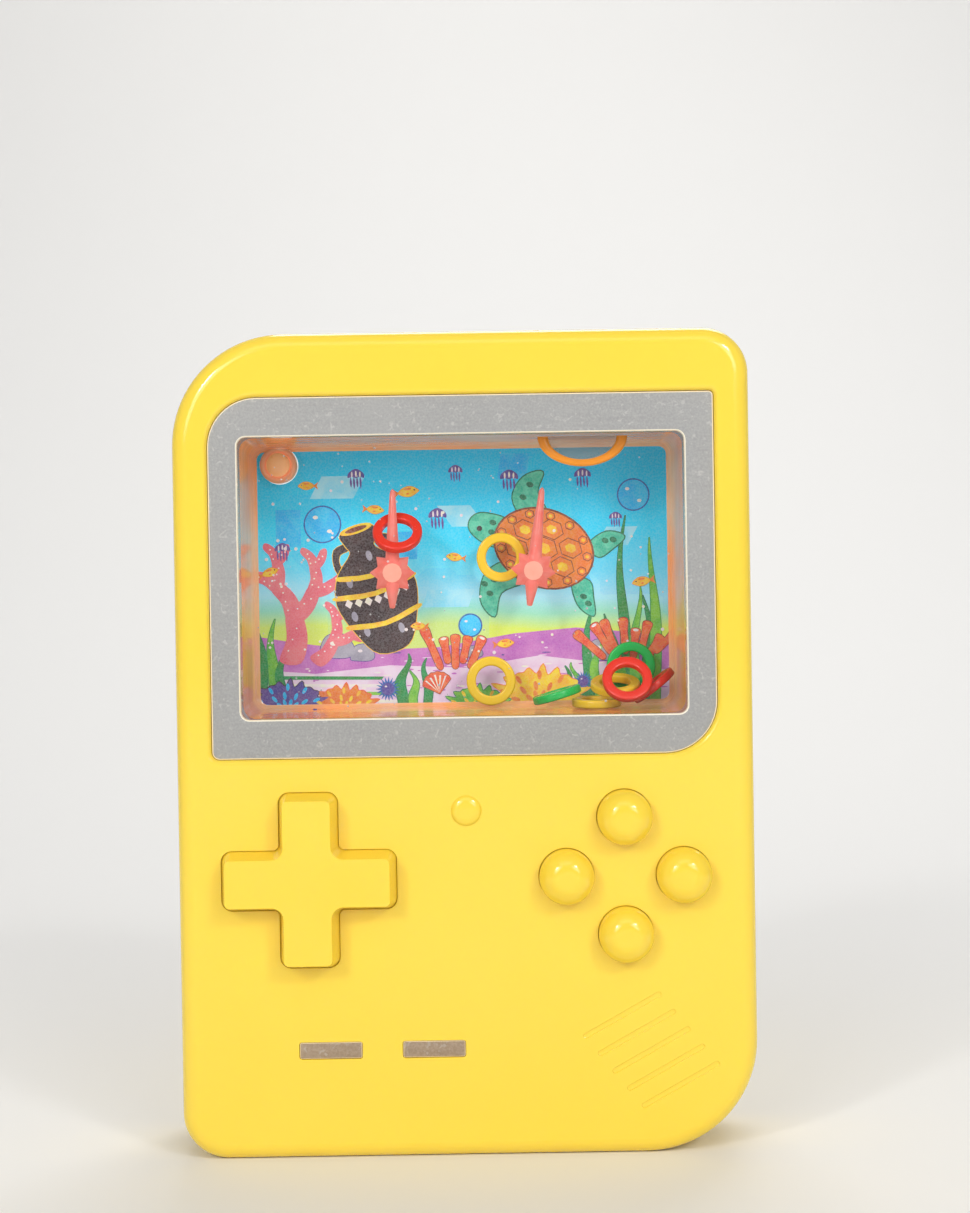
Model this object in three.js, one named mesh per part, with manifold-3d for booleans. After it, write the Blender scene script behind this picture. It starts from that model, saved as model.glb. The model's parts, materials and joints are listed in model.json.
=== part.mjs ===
// A hand-held water ring toss game in the shape of a pocket game console, in millimetres, +Z up.
// It stands on its bottom edge with the screen facing -Y. The pieces are drawn face up, with x to
// the right, y up the face and z out of the face towards the player, and the last group stands
// them up. z is 0 on the front face, so everything behind it has a negative z.
import * as THREE from "three";
import { mergeVertices } from "three/addons/utils/BufferGeometryUtils.js";
import Module from "manifold-3d";

const wasm = await Module();
wasm.setup();

// Housing
const bodyWidth = 88;
const bodyHeight = 125.7;
const cornerTopLeft = 17;
const cornerTopRight = 7;
const cornerBottomRight = 17;
const cornerBottomLeft = 7;
const edgeRound = 2.6;
const wall = 1.8;
const frontShellDepth = 13;
const seamGap = 0.3;
const lipHeight = 1.2;
const cardRoom = 3.4;

// Clearances shared by the pieces
const seatGap = 0.3;
const slideGap = 0.35;
const lipGap = 0.15;
const cutOverrun = 1;
const sharpCorner = 0.05;

// Screen bezel and the recess it lies in
const bezelSideMargin = 5.5;
const bezelTopMargin = 9.7;
const bezelBarWidth = 4.5;
const bezelRailHeight = 6;
const bezelThickness = 1.2;
const bezelCornerTopLeft = 7.5;
const bezelCornerTopRight = 0.7;
const bezelCornerBottomRight = 8;
const bezelCornerBottomLeft = 1.2;
const bezelEdgeRound = 0.3;
const bezelSetback = 0.7;
const recessFlare = 1;
const ledgeThickness = 1.6;
const windowHeight = 43;
const windowCorner = 1.3;
const windowRelief = 0.5;

// Water tank: a flat lens on an open tray
const lensThickness = 1.5;
const chamberSpare = 0.38;
const chamberMargin = 0.2;
const chamberTaper = 0.8;
const chamberCorner = 2;
const trayWall = 1.3;
const trayRimWidth = 2.8;
const trayRimThickness = 1.5;
const trayRimCorner = 2.5;
const tankRibThickness = 1.2;
const tankRibDepth = 4;
const tankRibLongSide = 30;
const tankRibShortSide = 18;
const cardThickness = 0.4;
const cardInset = 0.6;
const backRibThickness = 1.4;
const backRibLength = 44;
const backRibOffset = 12;

// Pegs that the rings land on
const pegSpacing = 22.1;
const pegRise = 0.6;
const pegStandoff = 7;
const pegTipHeight = 13.2;
const pegTailHeight = 5.6;
const pegWaistRadius = 1.15;
const pegTipRadius = 0.45;
const pegStarRadius = 3.65;
const pegStarNotchRadius = 2.55;
const pegStarThickness = 2.4;
const pegStarPoints = 8;
const pegHubRadius = 1.5;
const pegPostRadius = 1.2;
const pegSocketWall = 0.55;
const pegSocketHeight = 1.2;
const pegSocketFloor = 0.5;
const leftPegLean = THREE.MathUtils.degToRad(-1);
const rightPegLean = THREE.MathUtils.degToRad(-7);

// Rings
const ringOuterRadius = 3.9;
const ringWidth = 1.5;
const ringThickness = 1.3;
const ringEdge = 0.4;
const ringGap = 0.35;
const overPegTilt = THREE.MathUtils.degToRad(49);
const overPegForward = 0.2;
const byPegAngle = THREE.MathUtils.degToRad(156);
const wallRingSlant = THREE.MathUtils.degToRad(38);
const leaningRingSlant = THREE.MathUtils.degToRad(16);
const heapRingTilt = THREE.MathUtils.degToRad(19);
const frontRingTilt = THREE.MathUtils.degToRad(33);
const flatRingGap = 1.6;
const leaningRingOverlap = 1.6;
const heapRingAcross = 3;
const frontRingAcross = 4.6;
const frontRingRise = 1.3;
const backRingRise = 2.2;
const centreRingGap = 2.5;

// Cross pad
const padSpan = 26.6;
const padArmWidth = 9;
const padProud = 4.4;
const padTaper = 0.9;
const padEndRound = 1.6;
const padInnerRound = 0.9;
const padTopRound = 0.8;
const padFlangeThickness = 1.2;

// Four round buttons on one plate
const buttonPitchRadius = 8.9;
const buttonRadius = 4.2;
const buttonProud = 4.8;
const buttonStraight = 1.4;
const buttonDishRadius = 2.2;
const buttonDishDepth = 0.25;
const buttonPlateThickness = 1.4;
const controlTopGap = 3.9;
const controlSideGap = 5.5;
const controlTravel = 2.6;
const skirtWall = 1;
const flangeMargin = 1.2;
const plungerRadius = 4;

// Pumps under the controls
const bellowsPeakRadius = 8.4;
const bellowsValleyRadius = 6.4;
const bellowsWall = 0.8;
const bellowsFolds = 3;
const bellowsHeadDepth = 9.5;
const bellowsLipThickness = 0.9;
const pumpBaseRadius = 9.5;
const pumpBaseThickness = 5;
const pumpBore = 1;
const spigotRadius = 1.9;
const spigotLength = 3.2;
const hoseWall = 0.8;
const pumpRingWall = 1.2;
const pumpRingHeight = 2.4;
const inletForward = 1.8;

// Soft filler neck in the tank's back wall, and the plug in it
const fillerSideInset = 5;
const fillerTopInset = 3.6;
const neckBoreRadius = 1.95;
const neckWall = 0.45;
const neckFrontLip = 0.55;
const neckRearLip = 0.25;
const neckLipRound = 0.35;
const neckForward = 1.2;
const neckBackward = 1;
const plugFlangeRadius = 2.7;
const plugFlangeThickness = 0.9;
const plugKnobRadius = 1.5;
const plugKnobHeight = 1.2;
const plugNoseHeight = 1.1;
const plugNoseRound = 0.8;
const plugAccessRadius = 3.4;

// Screws and their bosses
const screwShankRadius = 1.1;
const screwHeadRadius = 2.4;
const screwHeadHeight = 1.5;
const screwLength = 11;
const screwTip = 1.4;
const screwSlotWidth = 0.7;
const screwSlotLength = 3;
const screwSlotDepth = 0.8;
const screwSetback = 6.5;
const frontBossRadius = 2.6;
const rearBossRadius = 3.6;
const screwHoleGap = 0.3;
const upperScrewInset = 13;
const upperScrewDrop = 7;
const lowerScrewInset = 11;
const lowerScrewRise = 9.5;
const middleScrewDrop = 6.2;

// Small features of the front face
const inlayWidth = 9.5;
const inlayHeight = 2.5;
const inlayThickness = 0.5;
const inlayPocketDepth = 1;
const inlayCorner = 0.35;
const inlayRiseShare = 0.62;
const inlayLeftAcross = -21.1;
const inlayRightAcross = -5.4;
const grooveCount = 5;
const grooveLength = 13.5;
const grooveWidth = 1.1;
const grooveDepth = 0.6;
const grooveAngle = THREE.MathUtils.degToRad(29);
const grooveSideInset = 16.4;
const grooveRiseShare = 0.595;
const grooveStepAcross = 2.18;
const grooveStepDown = 2.68;
const nubRadius = 2.3;
const nubHeight = 0.7;
const nubDrop = 8.2;

// How finely round shapes are divided
const cornerSteps = 6;
const edgeSteps = 3;
const roundSteps = 20;
const smallRoundSteps = 12;
const hoseSides = 8;
const hoseSteps = 9;

// How deep the tank is: its rings lie in three lanes, the front one slanting
const halfRing = ringThickness / 2;
const frontRingReach =
  ringOuterRadius * Math.sin(frontRingTilt) + halfRing * Math.cos(frontRingTilt);
const chamberDepth =
  3 * ringGap + ringThickness + 2 * ringOuterRadius + frontRingReach + chamberSpare;

// Levels behind the front face, from the front to the back
const bezelFaceZ = -bezelSetback;
const bezelBackZ = bezelFaceZ - bezelThickness;
const ledgeFrontZ = bezelBackZ - seatGap;
const ledgeBackZ = ledgeFrontZ - ledgeThickness;
const lensFrontZ = ledgeBackZ - seatGap;
const lensBackZ = lensFrontZ - lensThickness;
const trayFrontZ = lensBackZ - seatGap;
const chamberBackZ = lensBackZ - chamberDepth;
const trayBackZ = chamberBackZ - trayWall;
const cardFrontZ = trayBackZ - seatGap;
const cardBackZ = cardFrontZ - cardThickness;
const partingZ = -frontShellDepth;
const rearWallZ = cardBackZ - cardRoom;
const backZ = rearWallZ - wall;
const inletZ = chamberBackZ + inletForward;

// Places on the face
const bezelWidth = bodyWidth - 2 * bezelSideMargin;
const bezelHeight = windowHeight + 2 * bezelRailHeight;
const windowWidth = bezelWidth - 2 * bezelBarWidth;
const bezelTop = bodyHeight - bezelTopMargin;
const bezelBottom = bezelTop - bezelHeight;
const windowCentreY = (bezelTop + bezelBottom) / 2;
const flangeRadius = Math.max(padSpan / 2, buttonPitchRadius + buttonRadius) + flangeMargin;
const controlY = bezelBottom - controlTopGap - flangeRadius;
const controlOffset = bodyWidth / 2 - controlSideGap - flangeRadius;
const stripHeight = controlY - flangeRadius - slideGap - skirtWall;
const inlayY = stripHeight * inlayRiseShare;
const pegY = windowCentreY + pegRise;
const pegZ = chamberBackZ + pegStandoff;
const fillerX = fillerSideInset - chamberMargin - windowWidth / 2;
const fillerY = windowCentreY + windowHeight / 2 + chamberMargin - fillerTopInset;
const ringMiddleRadius = ringOuterRadius - ringWidth / 2;
const ringInnerRadius = ringOuterRadius - ringWidth;
const neckRadius = neckBoreRadius + neckWall;
const neckFrontRadius = neckRadius + neckFrontLip;
const neckRearRadius = neckRadius + neckRearLip;
const neckFrontZ = chamberBackZ + seatGap + neckForward;
const neckRearZ = trayBackZ - seatGap - neckBackward;
const hoseBore = spigotRadius + lipGap;
const hoseRadius = hoseBore + hoseWall;
const spigotZ = rearWallZ + seatGap + hoseRadius;

// Outlines, solids and their joins

/** A rectangle whose four corners have radii of their own. */
function outline(width, height, centreY, corners) {
  const [topLeft, topRight, bottomRight, bottomLeft] = corners;
  return {
    left: -width / 2,
    right: width / 2,
    bottom: centreY - height / 2,
    top: centreY + height / 2,
    topLeft,
    topRight,
    bottomRight,
    bottomLeft,
  };
}

/** The points of an outline, counterclockwise, after every side has moved out by grow. */
function outlinePoints(shape, grow = 0, steps = cornerSteps) {
  const radius = (corner) => Math.max(shape[corner] + grow, sharpCorner);
  const corners = [
    ["bottomLeft", shape.left - grow, shape.bottom - grow, 1, 1, Math.PI],
    ["bottomRight", shape.right + grow, shape.bottom - grow, -1, 1, 1.5 * Math.PI],
    ["topRight", shape.right + grow, shape.top + grow, -1, -1, 0],
    ["topLeft", shape.left - grow, shape.top + grow, 1, -1, 0.5 * Math.PI],
  ];
  return corners.flatMap(([name, x, y, inX, inY, start]) => {
    const r = radius(name);
    return Array.from({ length: steps + 1 }, (_, k) => {
      const angle = start + (k / steps) * (Math.PI / 2);
      return new THREE.Vector2(
        x + inX * r + r * Math.cos(angle),
        y + inY * r + r * Math.sin(angle),
      );
    });
  });
}

/** A closed solid through sections of equal point counts, listed from the lowest z up. */
function loft(sections) {
  const count = sections[0].points.length;
  const positions = sections.flatMap(({ points, z }) => points.flatMap((p) => [p.x, p.y, z]));
  const index = [];
  for (let s = 0; s + 1 < sections.length; s++) {
    for (let i = 0; i < count; i++) {
      const here = s * count + i;
      const next = s * count + ((i + 1) % count);
      index.push(here, next, next + count, here, next + count, here + count);
    }
  }
  const last = (sections.length - 1) * count;
  for (const [a, b, c] of THREE.ShapeUtils.triangulateShape(sections[0].points, [])) {
    index.push(a, c, b);
  }
  for (const [a, b, c] of THREE.ShapeUtils.triangulateShape(sections.at(-1).points, [])) {
    index.push(last + a, last + b, last + c);
  }
  const geometry = new THREE.BufferGeometry();
  geometry.setAttribute("position", new THREE.Float32BufferAttribute(positions, 3));
  geometry.setIndex(index);
  return geometry;
}

/** A slab of an outline from zLow to zHigh, with its lower and upper edges rounded. */
function slab(shape, zLow, zHigh, { grow = 0, lowRound = 0, highRound = 0, steps = cornerSteps } = {}) {
  const sections = [];
  const low = lowRound > 0 ? edgeSteps : 0;
  const high = highRound > 0 ? edgeSteps : 0;
  for (let k = 0; k <= low; k++) {
    const angle = low ? (k / low) * (Math.PI / 2) : 0;
    const inset = lowRound * (1 - Math.sin(angle));
    const z = zLow + lowRound * (1 - Math.cos(angle));
    sections.push({ points: outlinePoints(shape, grow - inset, steps), z });
  }
  for (let k = 0; k <= high; k++) {
    const angle = high ? (k / high) * (Math.PI / 2) : 0;
    const inset = highRound * (1 - Math.cos(angle));
    const z = zHigh - highRound * (1 - Math.sin(angle));
    sections.push({ points: outlinePoints(shape, grow - inset, steps), z });
  }
  return loft(sections);
}

/** A geometry as a solid that can be joined and cut. */
function solid(geometry) {
  const bare = geometry.clone();
  bare.deleteAttribute("normal");
  bare.deleteAttribute("uv");
  const merged = mergeVertices(bare);
  const triVerts = Uint32Array.from(merged.index.array);
  const vertProperties = Float32Array.from(merged.attributes.position.array);
  const build = () => new wasm.Manifold(new wasm.Mesh({ numProp: 3, vertProperties, triVerts }));
  const made = build();
  if (made.volume() > 0) return made;
  for (let i = 0; i < triVerts.length; i += 3) {
    [triVerts[i + 1], triVerts[i + 2]] = [triVerts[i + 2], triVerts[i + 1]];
  }
  return build();
}

/** Every geometry or solid in the list, as one solid. */
function join(items) {
  return items.map(asSolid).reduce((all, item) => all.add(item));
}

/** The first shape with every shape of the list taken out of it. */
function cut(whole, items) {
  return items.map(asSolid).reduce((all, item) => all.subtract(item), asSolid(whole));
}

/** A solid stays one, and a geometry becomes one. */
function asSolid(item) {
  return item instanceof THREE.BufferGeometry ? solid(item) : item;
}

/** A named mesh of a solid or a geometry. */
function mesh(name, shape, material) {
  const { numProp, vertProperties, triVerts } = asSolid(shape).getMesh();
  const positions = new Float32Array((vertProperties.length / numProp) * 3);
  for (let i = 0; i < positions.length / 3; i++) {
    positions.set(vertProperties.subarray(i * numProp, i * numProp + 3), i * 3);
  }
  const geometry = new THREE.BufferGeometry();
  geometry.setAttribute("position", new THREE.BufferAttribute(positions, 3));
  geometry.setIndex(new THREE.BufferAttribute(Uint32Array.from(triVerts), 1));
  geometry.computeVertexNormals();
  const made = new THREE.Mesh(geometry, material);
  made.name = name;
  return made;
}

/** A box between two corners. */
function block(left, right, bottom, top, zLow, zHigh) {
  const size = [right - left, top - bottom, zHigh - zLow];
  const box = new THREE.BoxGeometry(...size);
  return box.translate((left + right) / 2, (bottom + top) / 2, (zLow + zHigh) / 2);
}

/** A round bar along z. */
function bar(x, y, radius, zLow, zHigh, sides = smallRoundSteps) {
  const rod = new THREE.CylinderGeometry(radius, radius, zHigh - zLow, sides);
  return rod.rotateX(Math.PI / 2).translate(x, y, (zLow + zHigh) / 2);
}

/** A round bar along y. */
function upright(x, z, radius, yLow, yHigh, sides = smallRoundSteps) {
  const rod = new THREE.CylinderGeometry(radius, radius, yHigh - yLow, sides);
  return rod.translate(x, (yLow + yHigh) / 2, z);
}

/** A profile of [radius, z] pairs turned about an axis along z. */
function turned(profile, x, y, sides = roundSteps) {
  const points = profile.map(([radius, z]) => new THREE.Vector2(radius, z));
  return new THREE.LatheGeometry(points, sides).rotateX(Math.PI / 2).translate(x, y, 0);
}

// Materials
const plastic = (color, roughness) => new THREE.MeshStandardMaterial({ color, roughness, metalness: 0 });
const clear = (color, opacity) =>
  new THREE.MeshStandardMaterial({ color, roughness: 0.05, transparent: true, opacity });
const materials = {
  yellowShell: plastic(0xfdd835, 0.3),
  yellowButton: plastic(0xfbd22f, 0.28),
  silverFilm: new THREE.MeshStandardMaterial({ color: 0xb9b9b7, roughness: 0.4, metalness: 0.7 }),
  clearTank: clear(0xf4f8fa, 0.25),
  printedCard: plastic(0x35b6dc, 0.5),
  coralPeg: plastic(0xf26a5e, 0.25),
  ringRed: plastic(0xdd3a26, 0.3),
  ringYellow: plastic(0xf3c71f, 0.3),
  ringGreen: plastic(0x22a548, 0.3),
  softPump: plastic(0xf0ead6, 0.6),
  whitePump: plastic(0xf2f2ee, 0.45),
  peachPlug: plastic(0xefae7c, 0.5),
  screwSteel: new THREE.MeshStandardMaterial({ color: 0xb8b8ba, roughness: 0.35, metalness: 1 }),
};

// The outlines that several pieces share
const bodyOutline = outline(bodyWidth, bodyHeight, bodyHeight / 2, [
  cornerTopLeft,
  cornerTopRight,
  cornerBottomRight,
  cornerBottomLeft,
]);
const bezelOutline = outline(bezelWidth, bezelHeight, windowCentreY, [
  bezelCornerTopLeft,
  bezelCornerTopRight,
  bezelCornerBottomRight,
  bezelCornerBottomLeft,
]);
const windowOutline = outline(windowWidth, windowHeight, windowCentreY, Array(4).fill(windowCorner));
const chamberOutline = outline(
  windowWidth + 2 * chamberMargin,
  windowHeight + 2 * chamberMargin,
  windowCentreY,
  Array(4).fill(chamberCorner),
);
const rimOutline = outline(
  windowWidth + 2 * (chamberMargin + trayRimWidth),
  windowHeight + 2 * (chamberMargin + trayRimWidth),
  windowCentreY,
  Array(4).fill(trayRimCorner),
);

const screwPlaces = [
  ["top_left", upperScrewInset - bodyWidth / 2, bodyHeight - upperScrewDrop],
  ["top_right", bodyWidth / 2 - upperScrewInset, bodyHeight - upperScrewDrop],
  ["bottom_left", lowerScrewInset - bodyWidth / 2, lowerScrewRise],
  ["bottom_right", bodyWidth / 2 - lowerScrewInset, lowerScrewRise],
  ["middle", 0, bezelBottom - middleScrewDrop],
];
const screwSeatZ = backZ + screwSetback;
const buttonAngles = [0, 1, 2, 3].map((quarter) => (quarter * Math.PI) / 2);
const buttonCentres = buttonAngles.map((angle) => [
  controlOffset + buttonPitchRadius * Math.cos(angle),
  controlY + buttonPitchRadius * Math.sin(angle),
]);

/** The points of the cross pad's outline, after every side has moved out by grow. */
function crossPoints(grow) {
  const reach = padSpan / 2 + grow;
  const half = padArmWidth / 2 + grow;
  const end = Math.max(padEndRound + grow, sharpCorner);
  const inner = Math.max(padInnerRound - grow, sharpCorner);
  const arc = (x, y, radius, from, to) =>
    Array.from({ length: edgeSteps + 1 }, (_, k) => {
      const angle = from + (k / edgeSteps) * (to - from);
      return new THREE.Vector2(x + radius * Math.cos(angle), y + radius * Math.sin(angle));
    });
  const quarter = Math.PI / 2;
  const arm = [
    ...arc(half + inner, -half - inner, inner, Math.PI, quarter),
    ...arc(reach - end, -half + end, end, -quarter, 0),
    ...arc(reach - end, half - end, end, 0, quarter),
  ];
  const centre = new THREE.Vector2();
  return [0, 1, 2, 3].flatMap((turn) =>
    arm.map((p) => {
      const turnedPoint = p.clone().rotateAround(centre, turn * quarter);
      return turnedPoint.add(new THREE.Vector2(-controlOffset, controlY));
    }),
  );
}

// Housing pieces

/** The pilot hole and the boss that a screw bites into, behind the front face. */
function frontBosses() {
  const bosses = screwPlaces.map(([, x, y]) => bar(x, y, frontBossRadius, partingZ, -wall / 2));
  const holeEnd = screwSeatZ + screwLength + screwHoleGap;
  const holes = screwPlaces.map(([, x, y]) =>
    bar(x, y, screwShankRadius + screwHoleGap, partingZ - cutOverrun, holeEnd),
  );
  return { bosses, holes };
}

/** Ribs behind the window ledge that hold the tank's rim in place. */
function tankRibs() {
  const { left, right, bottom, top } = rimOutline;
  const zLow = ledgeBackZ - tankRibDepth;
  const zHigh = ledgeBackZ + ledgeThickness / 2;
  const long = tankRibLongSide / 2;
  const short = tankRibShortSide / 2;
  const near = seatGap;
  const far = seatGap + tankRibThickness;
  return [
    block(-long, long, top + near, top + far, zLow, zHigh),
    block(-long, long, bottom - far, bottom - near, zLow, zHigh),
    block(right + near, right + far, windowCentreY - short, windowCentreY + short, zLow, zHigh),
    block(left - far, left - near, windowCentreY - short, windowCentreY + short, zLow, zHigh),
  ];
}

/** Round skirts that guide the flanges of the controls. */
function controlSkirt(x) {
  const inner = flangeRadius + slideGap;
  const depth = wall + seatGap + padFlangeThickness + controlTravel;
  const zLow = -depth - seatGap;
  return cut(bar(x, controlY, inner + skirtWall, zLow, -wall / 2, roundSteps), [
    bar(x, controlY, inner, zLow - cutOverrun, 0, roundSteps),
  ]);
}

/** The slanted grooves of the sound grille, which are only pressed into the face. */
function grilleGrooves() {
  return Array.from({ length: grooveCount }, (_, k) => {
    const groove = outline(grooveLength, grooveWidth, 0, Array(4).fill(grooveWidth / 2));
    const fromMiddle = k - (grooveCount - 1) / 2;
    const x = bodyWidth / 2 - grooveSideInset + fromMiddle * grooveStepAcross;
    const y = stripHeight * grooveRiseShare - fromMiddle * grooveStepDown;
    return slab(groove, -grooveDepth, cutOverrun, { steps: edgeSteps })
      .rotateZ(grooveAngle)
      .translate(x, y, 0);
  });
}

/** The pocket of an inlay, or the inlay itself when grow is 0. */
function inlayShape(x, grow, zLow, zHigh) {
  const shape = outline(inlayWidth, inlayHeight, inlayY, Array(4).fill(inlayCorner));
  return slab(shape, zLow, zHigh, { grow, steps: edgeSteps }).translate(x, 0, 0);
}

function frontShell() {
  const outside = slab(bodyOutline, partingZ, 0, { highRound: edgeRound });
  const inside = slab(bodyOutline, partingZ - cutOverrun, -wall, {
    grow: -wall,
    highRound: edgeRound - wall / 2,
  });
  const lip = cut(
    slab(bodyOutline, partingZ - lipHeight, partingZ + wall, { grow: -wall / 2 - lipGap }),
    [slab(bodyOutline, partingZ - lipHeight - cutOverrun, partingZ + wall + cutOverrun, { grow: -wall })],
  );
  const ledgeBlock = slab(bezelOutline, ledgeBackZ, -wall / 2, { grow: recessFlare });
  const { bosses, holes } = frontBosses();
  const nub = turned(
    [
      [0, -wall / 2],
      [nubRadius, -wall / 2],
      [nubRadius, 0],
      [nubRadius * Math.cos(Math.PI / 6), nubHeight / 2],
      [nubRadius * Math.cos(Math.PI / 3), nubHeight * Math.sin(Math.PI / 3)],
      [0, nubHeight],
    ],
    0,
    bezelBottom - nubDrop,
    smallRoundSteps,
  );
  const added = join([
    cut(outside, [inside]),
    lip,
    ledgeBlock,
    nub,
    controlSkirt(-controlOffset),
    controlSkirt(controlOffset),
    ...tankRibs(),
    ...bosses,
  ]);
  const recess = loft([
    { points: outlinePoints(bezelOutline, seatGap), z: ledgeFrontZ },
    { points: outlinePoints(bezelOutline, seatGap), z: bezelFaceZ },
    { points: outlinePoints(bezelOutline, seatGap + recessFlare / 3), z: bezelFaceZ / 3 },
    { points: outlinePoints(bezelOutline, seatGap + recessFlare), z: 0 },
    { points: outlinePoints(bezelOutline, seatGap + recessFlare), z: cutOverrun },
  ]);
  const crossHole = loft([
    { points: crossPoints(slideGap), z: -wall - cutOverrun },
    { points: crossPoints(slideGap), z: cutOverrun },
  ]);
  return cut(added, [
    recess,
    slab(windowOutline, ledgeBackZ - cutOverrun, cutOverrun, { grow: windowRelief, steps: edgeSteps }),
    crossHole,
    ...buttonCentres.map(([x, y]) =>
      bar(x, y, buttonRadius + slideGap, -wall - cutOverrun, cutOverrun, roundSteps),
    ),
    inlayShape(inlayLeftAcross, seatGap, -inlayPocketDepth, cutOverrun),
    inlayShape(inlayRightAcross, seatGap, -inlayPocketDepth, cutOverrun),
    ...grilleGrooves(),
    ...holes,
  ]);
}

/** A ring on the rear wall round a pump base, open where the spigot leaves. */
function pumpSeat(x) {
  const inner = pumpBaseRadius + seatGap;
  const top = rearWallZ + pumpRingHeight;
  const doorway = hoseRadius + slideGap;
  return cut(bar(x, controlY, inner + pumpRingWall, rearWallZ - wall / 2, top, roundSteps), [
    bar(x, controlY, inner, rearWallZ, top + cutOverrun, roundSteps),
    block(x - doorway, x + doorway, controlY, controlY + 2 * inner, rearWallZ, top + cutOverrun),
  ]);
}

function rearShell() {
  const edgeZ = partingZ - seamGap;
  const outside = slab(bodyOutline, backZ, edgeZ, { lowRound: edgeRound });
  const inside = slab(bodyOutline, rearWallZ, edgeZ + cutOverrun, {
    grow: -wall,
    lowRound: edgeRound - wall / 2,
  });
  const rebate = slab(bodyOutline, partingZ - lipHeight - seatGap, edgeZ + cutOverrun, {
    grow: -wall / 2 + lipGap,
  });
  const ribLong = backRibLength / 2;
  const ribHalf = backRibThickness / 2;
  const ribTop = cardBackZ - seatGap;
  const ribs = [-1, 1].map((side) => {
    const y = windowCentreY + side * backRibOffset;
    return block(-ribLong, ribLong, y - ribHalf, y + ribHalf, rearWallZ - wall / 2, ribTop);
  });
  const bosses = screwPlaces.map(([, x, y]) =>
    bar(x, y, rearBossRadius, rearWallZ - wall / 2, edgeZ),
  );
  const added = join([
    cut(outside, [inside, rebate]),
    ...ribs,
    ...bosses,
    pumpSeat(-controlOffset),
    pumpSeat(controlOffset),
  ]);
  return cut(added, [
    ...screwPlaces.flatMap(([, x, y]) => [
      bar(x, y, screwHeadRadius + screwHoleGap, backZ - cutOverrun, screwSeatZ + seatGap),
      bar(x, y, screwShankRadius + screwHoleGap, backZ - cutOverrun, edgeZ + cutOverrun),
    ]),
    bar(fillerX, fillerY, plugAccessRadius, backZ - cutOverrun, rearWallZ + cutOverrun, roundSteps),
  ]);
}

function bezel() {
  const plate = slab(bezelOutline, bezelBackZ, bezelFaceZ, { highRound: bezelEdgeRound });
  const window = loft([
    { points: outlinePoints(windowOutline, 0, edgeSteps), z: bezelBackZ - cutOverrun },
    { points: outlinePoints(windowOutline, 0, edgeSteps), z: bezelFaceZ - bezelEdgeRound },
    { points: outlinePoints(windowOutline, bezelEdgeRound, edgeSteps), z: bezelFaceZ },
    { points: outlinePoints(windowOutline, bezelEdgeRound, edgeSteps), z: bezelFaceZ + cutOverrun },
  ]);
  return cut(plate, [window]);
}

function inlay(x) {
  const floor = -inlayPocketDepth + seatGap;
  return inlayShape(x, 0, floor, floor + inlayThickness);
}

/** A pan-head screw with a cross recess, pointing up into its boss. */
function screw(x, y) {
  const tip = screwSeatZ + screwLength;
  const head = screwSeatZ - screwHeadHeight;
  const body = turned(
    [
      [0, head],
      [screwHeadRadius * Math.cos(Math.PI / 4), head],
      [screwHeadRadius, head + screwHeadHeight / 2],
      [screwHeadRadius, screwSeatZ],
      [screwShankRadius, screwSeatZ],
      [screwShankRadius, tip - screwTip],
      [0, tip],
    ],
    x,
    y,
    smallRoundSteps,
  );
  const long = screwSlotLength / 2;
  const half = screwSlotWidth / 2;
  const low = head - cutOverrun;
  const high = head + screwSlotDepth;
  return cut(body, [
    block(x - long, x + long, y - half, y + half, low, high),
    block(x - half, x + half, y - long, y + long, low, high),
  ]);
}

// Controls

/** The hollow stem that reaches from a control's flange to the head of its pump. */
function plunger(x, flangeBackZ) {
  const end = -bellowsHeadDepth + seatGap;
  return cut(bar(x, controlY, plungerRadius, end, flangeBackZ + seatGap), [
    bar(x, controlY, plungerRadius - bellowsWall, end - cutOverrun, flangeBackZ - seatGap),
  ]);
}

function crossPad() {
  const flangeTop = -wall - seatGap;
  const flangeBack = flangeTop - padFlangeThickness;
  const sections = [
    { points: crossPoints(0), z: flangeTop - padFlangeThickness / 2 },
    { points: crossPoints(0), z: 0 },
  ];
  for (let k = 0; k <= edgeSteps; k++) {
    const angle = (k / edgeSteps) * (Math.PI / 2);
    const inset = padTaper + padTopRound * (1 - Math.cos(angle));
    sections.push({
      points: crossPoints(-inset),
      z: padProud - padTopRound * (1 - Math.sin(angle)),
    });
  }
  return join([
    loft(sections),
    bar(-controlOffset, controlY, flangeRadius, flangeBack, flangeTop, roundSteps),
    plunger(-controlOffset, flangeBack),
  ]);
}

/** One round button: a short straight side, a dome, and a shallow dish on top. */
function buttonCap(x, y, zLow) {
  const rise = buttonProud - buttonStraight;
  const flatRadius = buttonDishRadius + buttonDishDepth;
  const dome = Array.from({ length: edgeSteps + 2 }, (_, k) => {
    const t = k / (edgeSteps + 1);
    const angle = t * (Math.PI / 2);
    const radius = flatRadius + (buttonRadius - flatRadius) * Math.cos(angle);
    return [radius, buttonStraight + rise * Math.sin(angle)];
  });
  return turned(
    [
      [0, zLow],
      [buttonRadius, zLow],
      ...dome,
      [buttonDishRadius, buttonProud - buttonDishDepth],
      [0, buttonProud - buttonDishDepth],
    ],
    x,
    y,
  );
}

function buttonCluster() {
  const plateTop = -wall - seatGap;
  const plateBack = plateTop - buttonPlateThickness;
  return join([
    bar(controlOffset, controlY, flangeRadius, plateBack, plateTop, roundSteps),
    ...buttonCentres.map(([x, y]) => buttonCap(x, y, plateTop - buttonPlateThickness / 2)),
    plunger(controlOffset, plateBack),
  ]);
}

// Tank

/** How far the tank's walls have drawn in at a level z. */
function taperAt(z) {
  return (chamberTaper * (lensBackZ - z)) / chamberDepth;
}

/** Half of the chamber's width or height, less its taper, at a level z. */
function chamberHalf(full, z) {
  return full / 2 + chamberMargin - taperAt(z);
}

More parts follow.
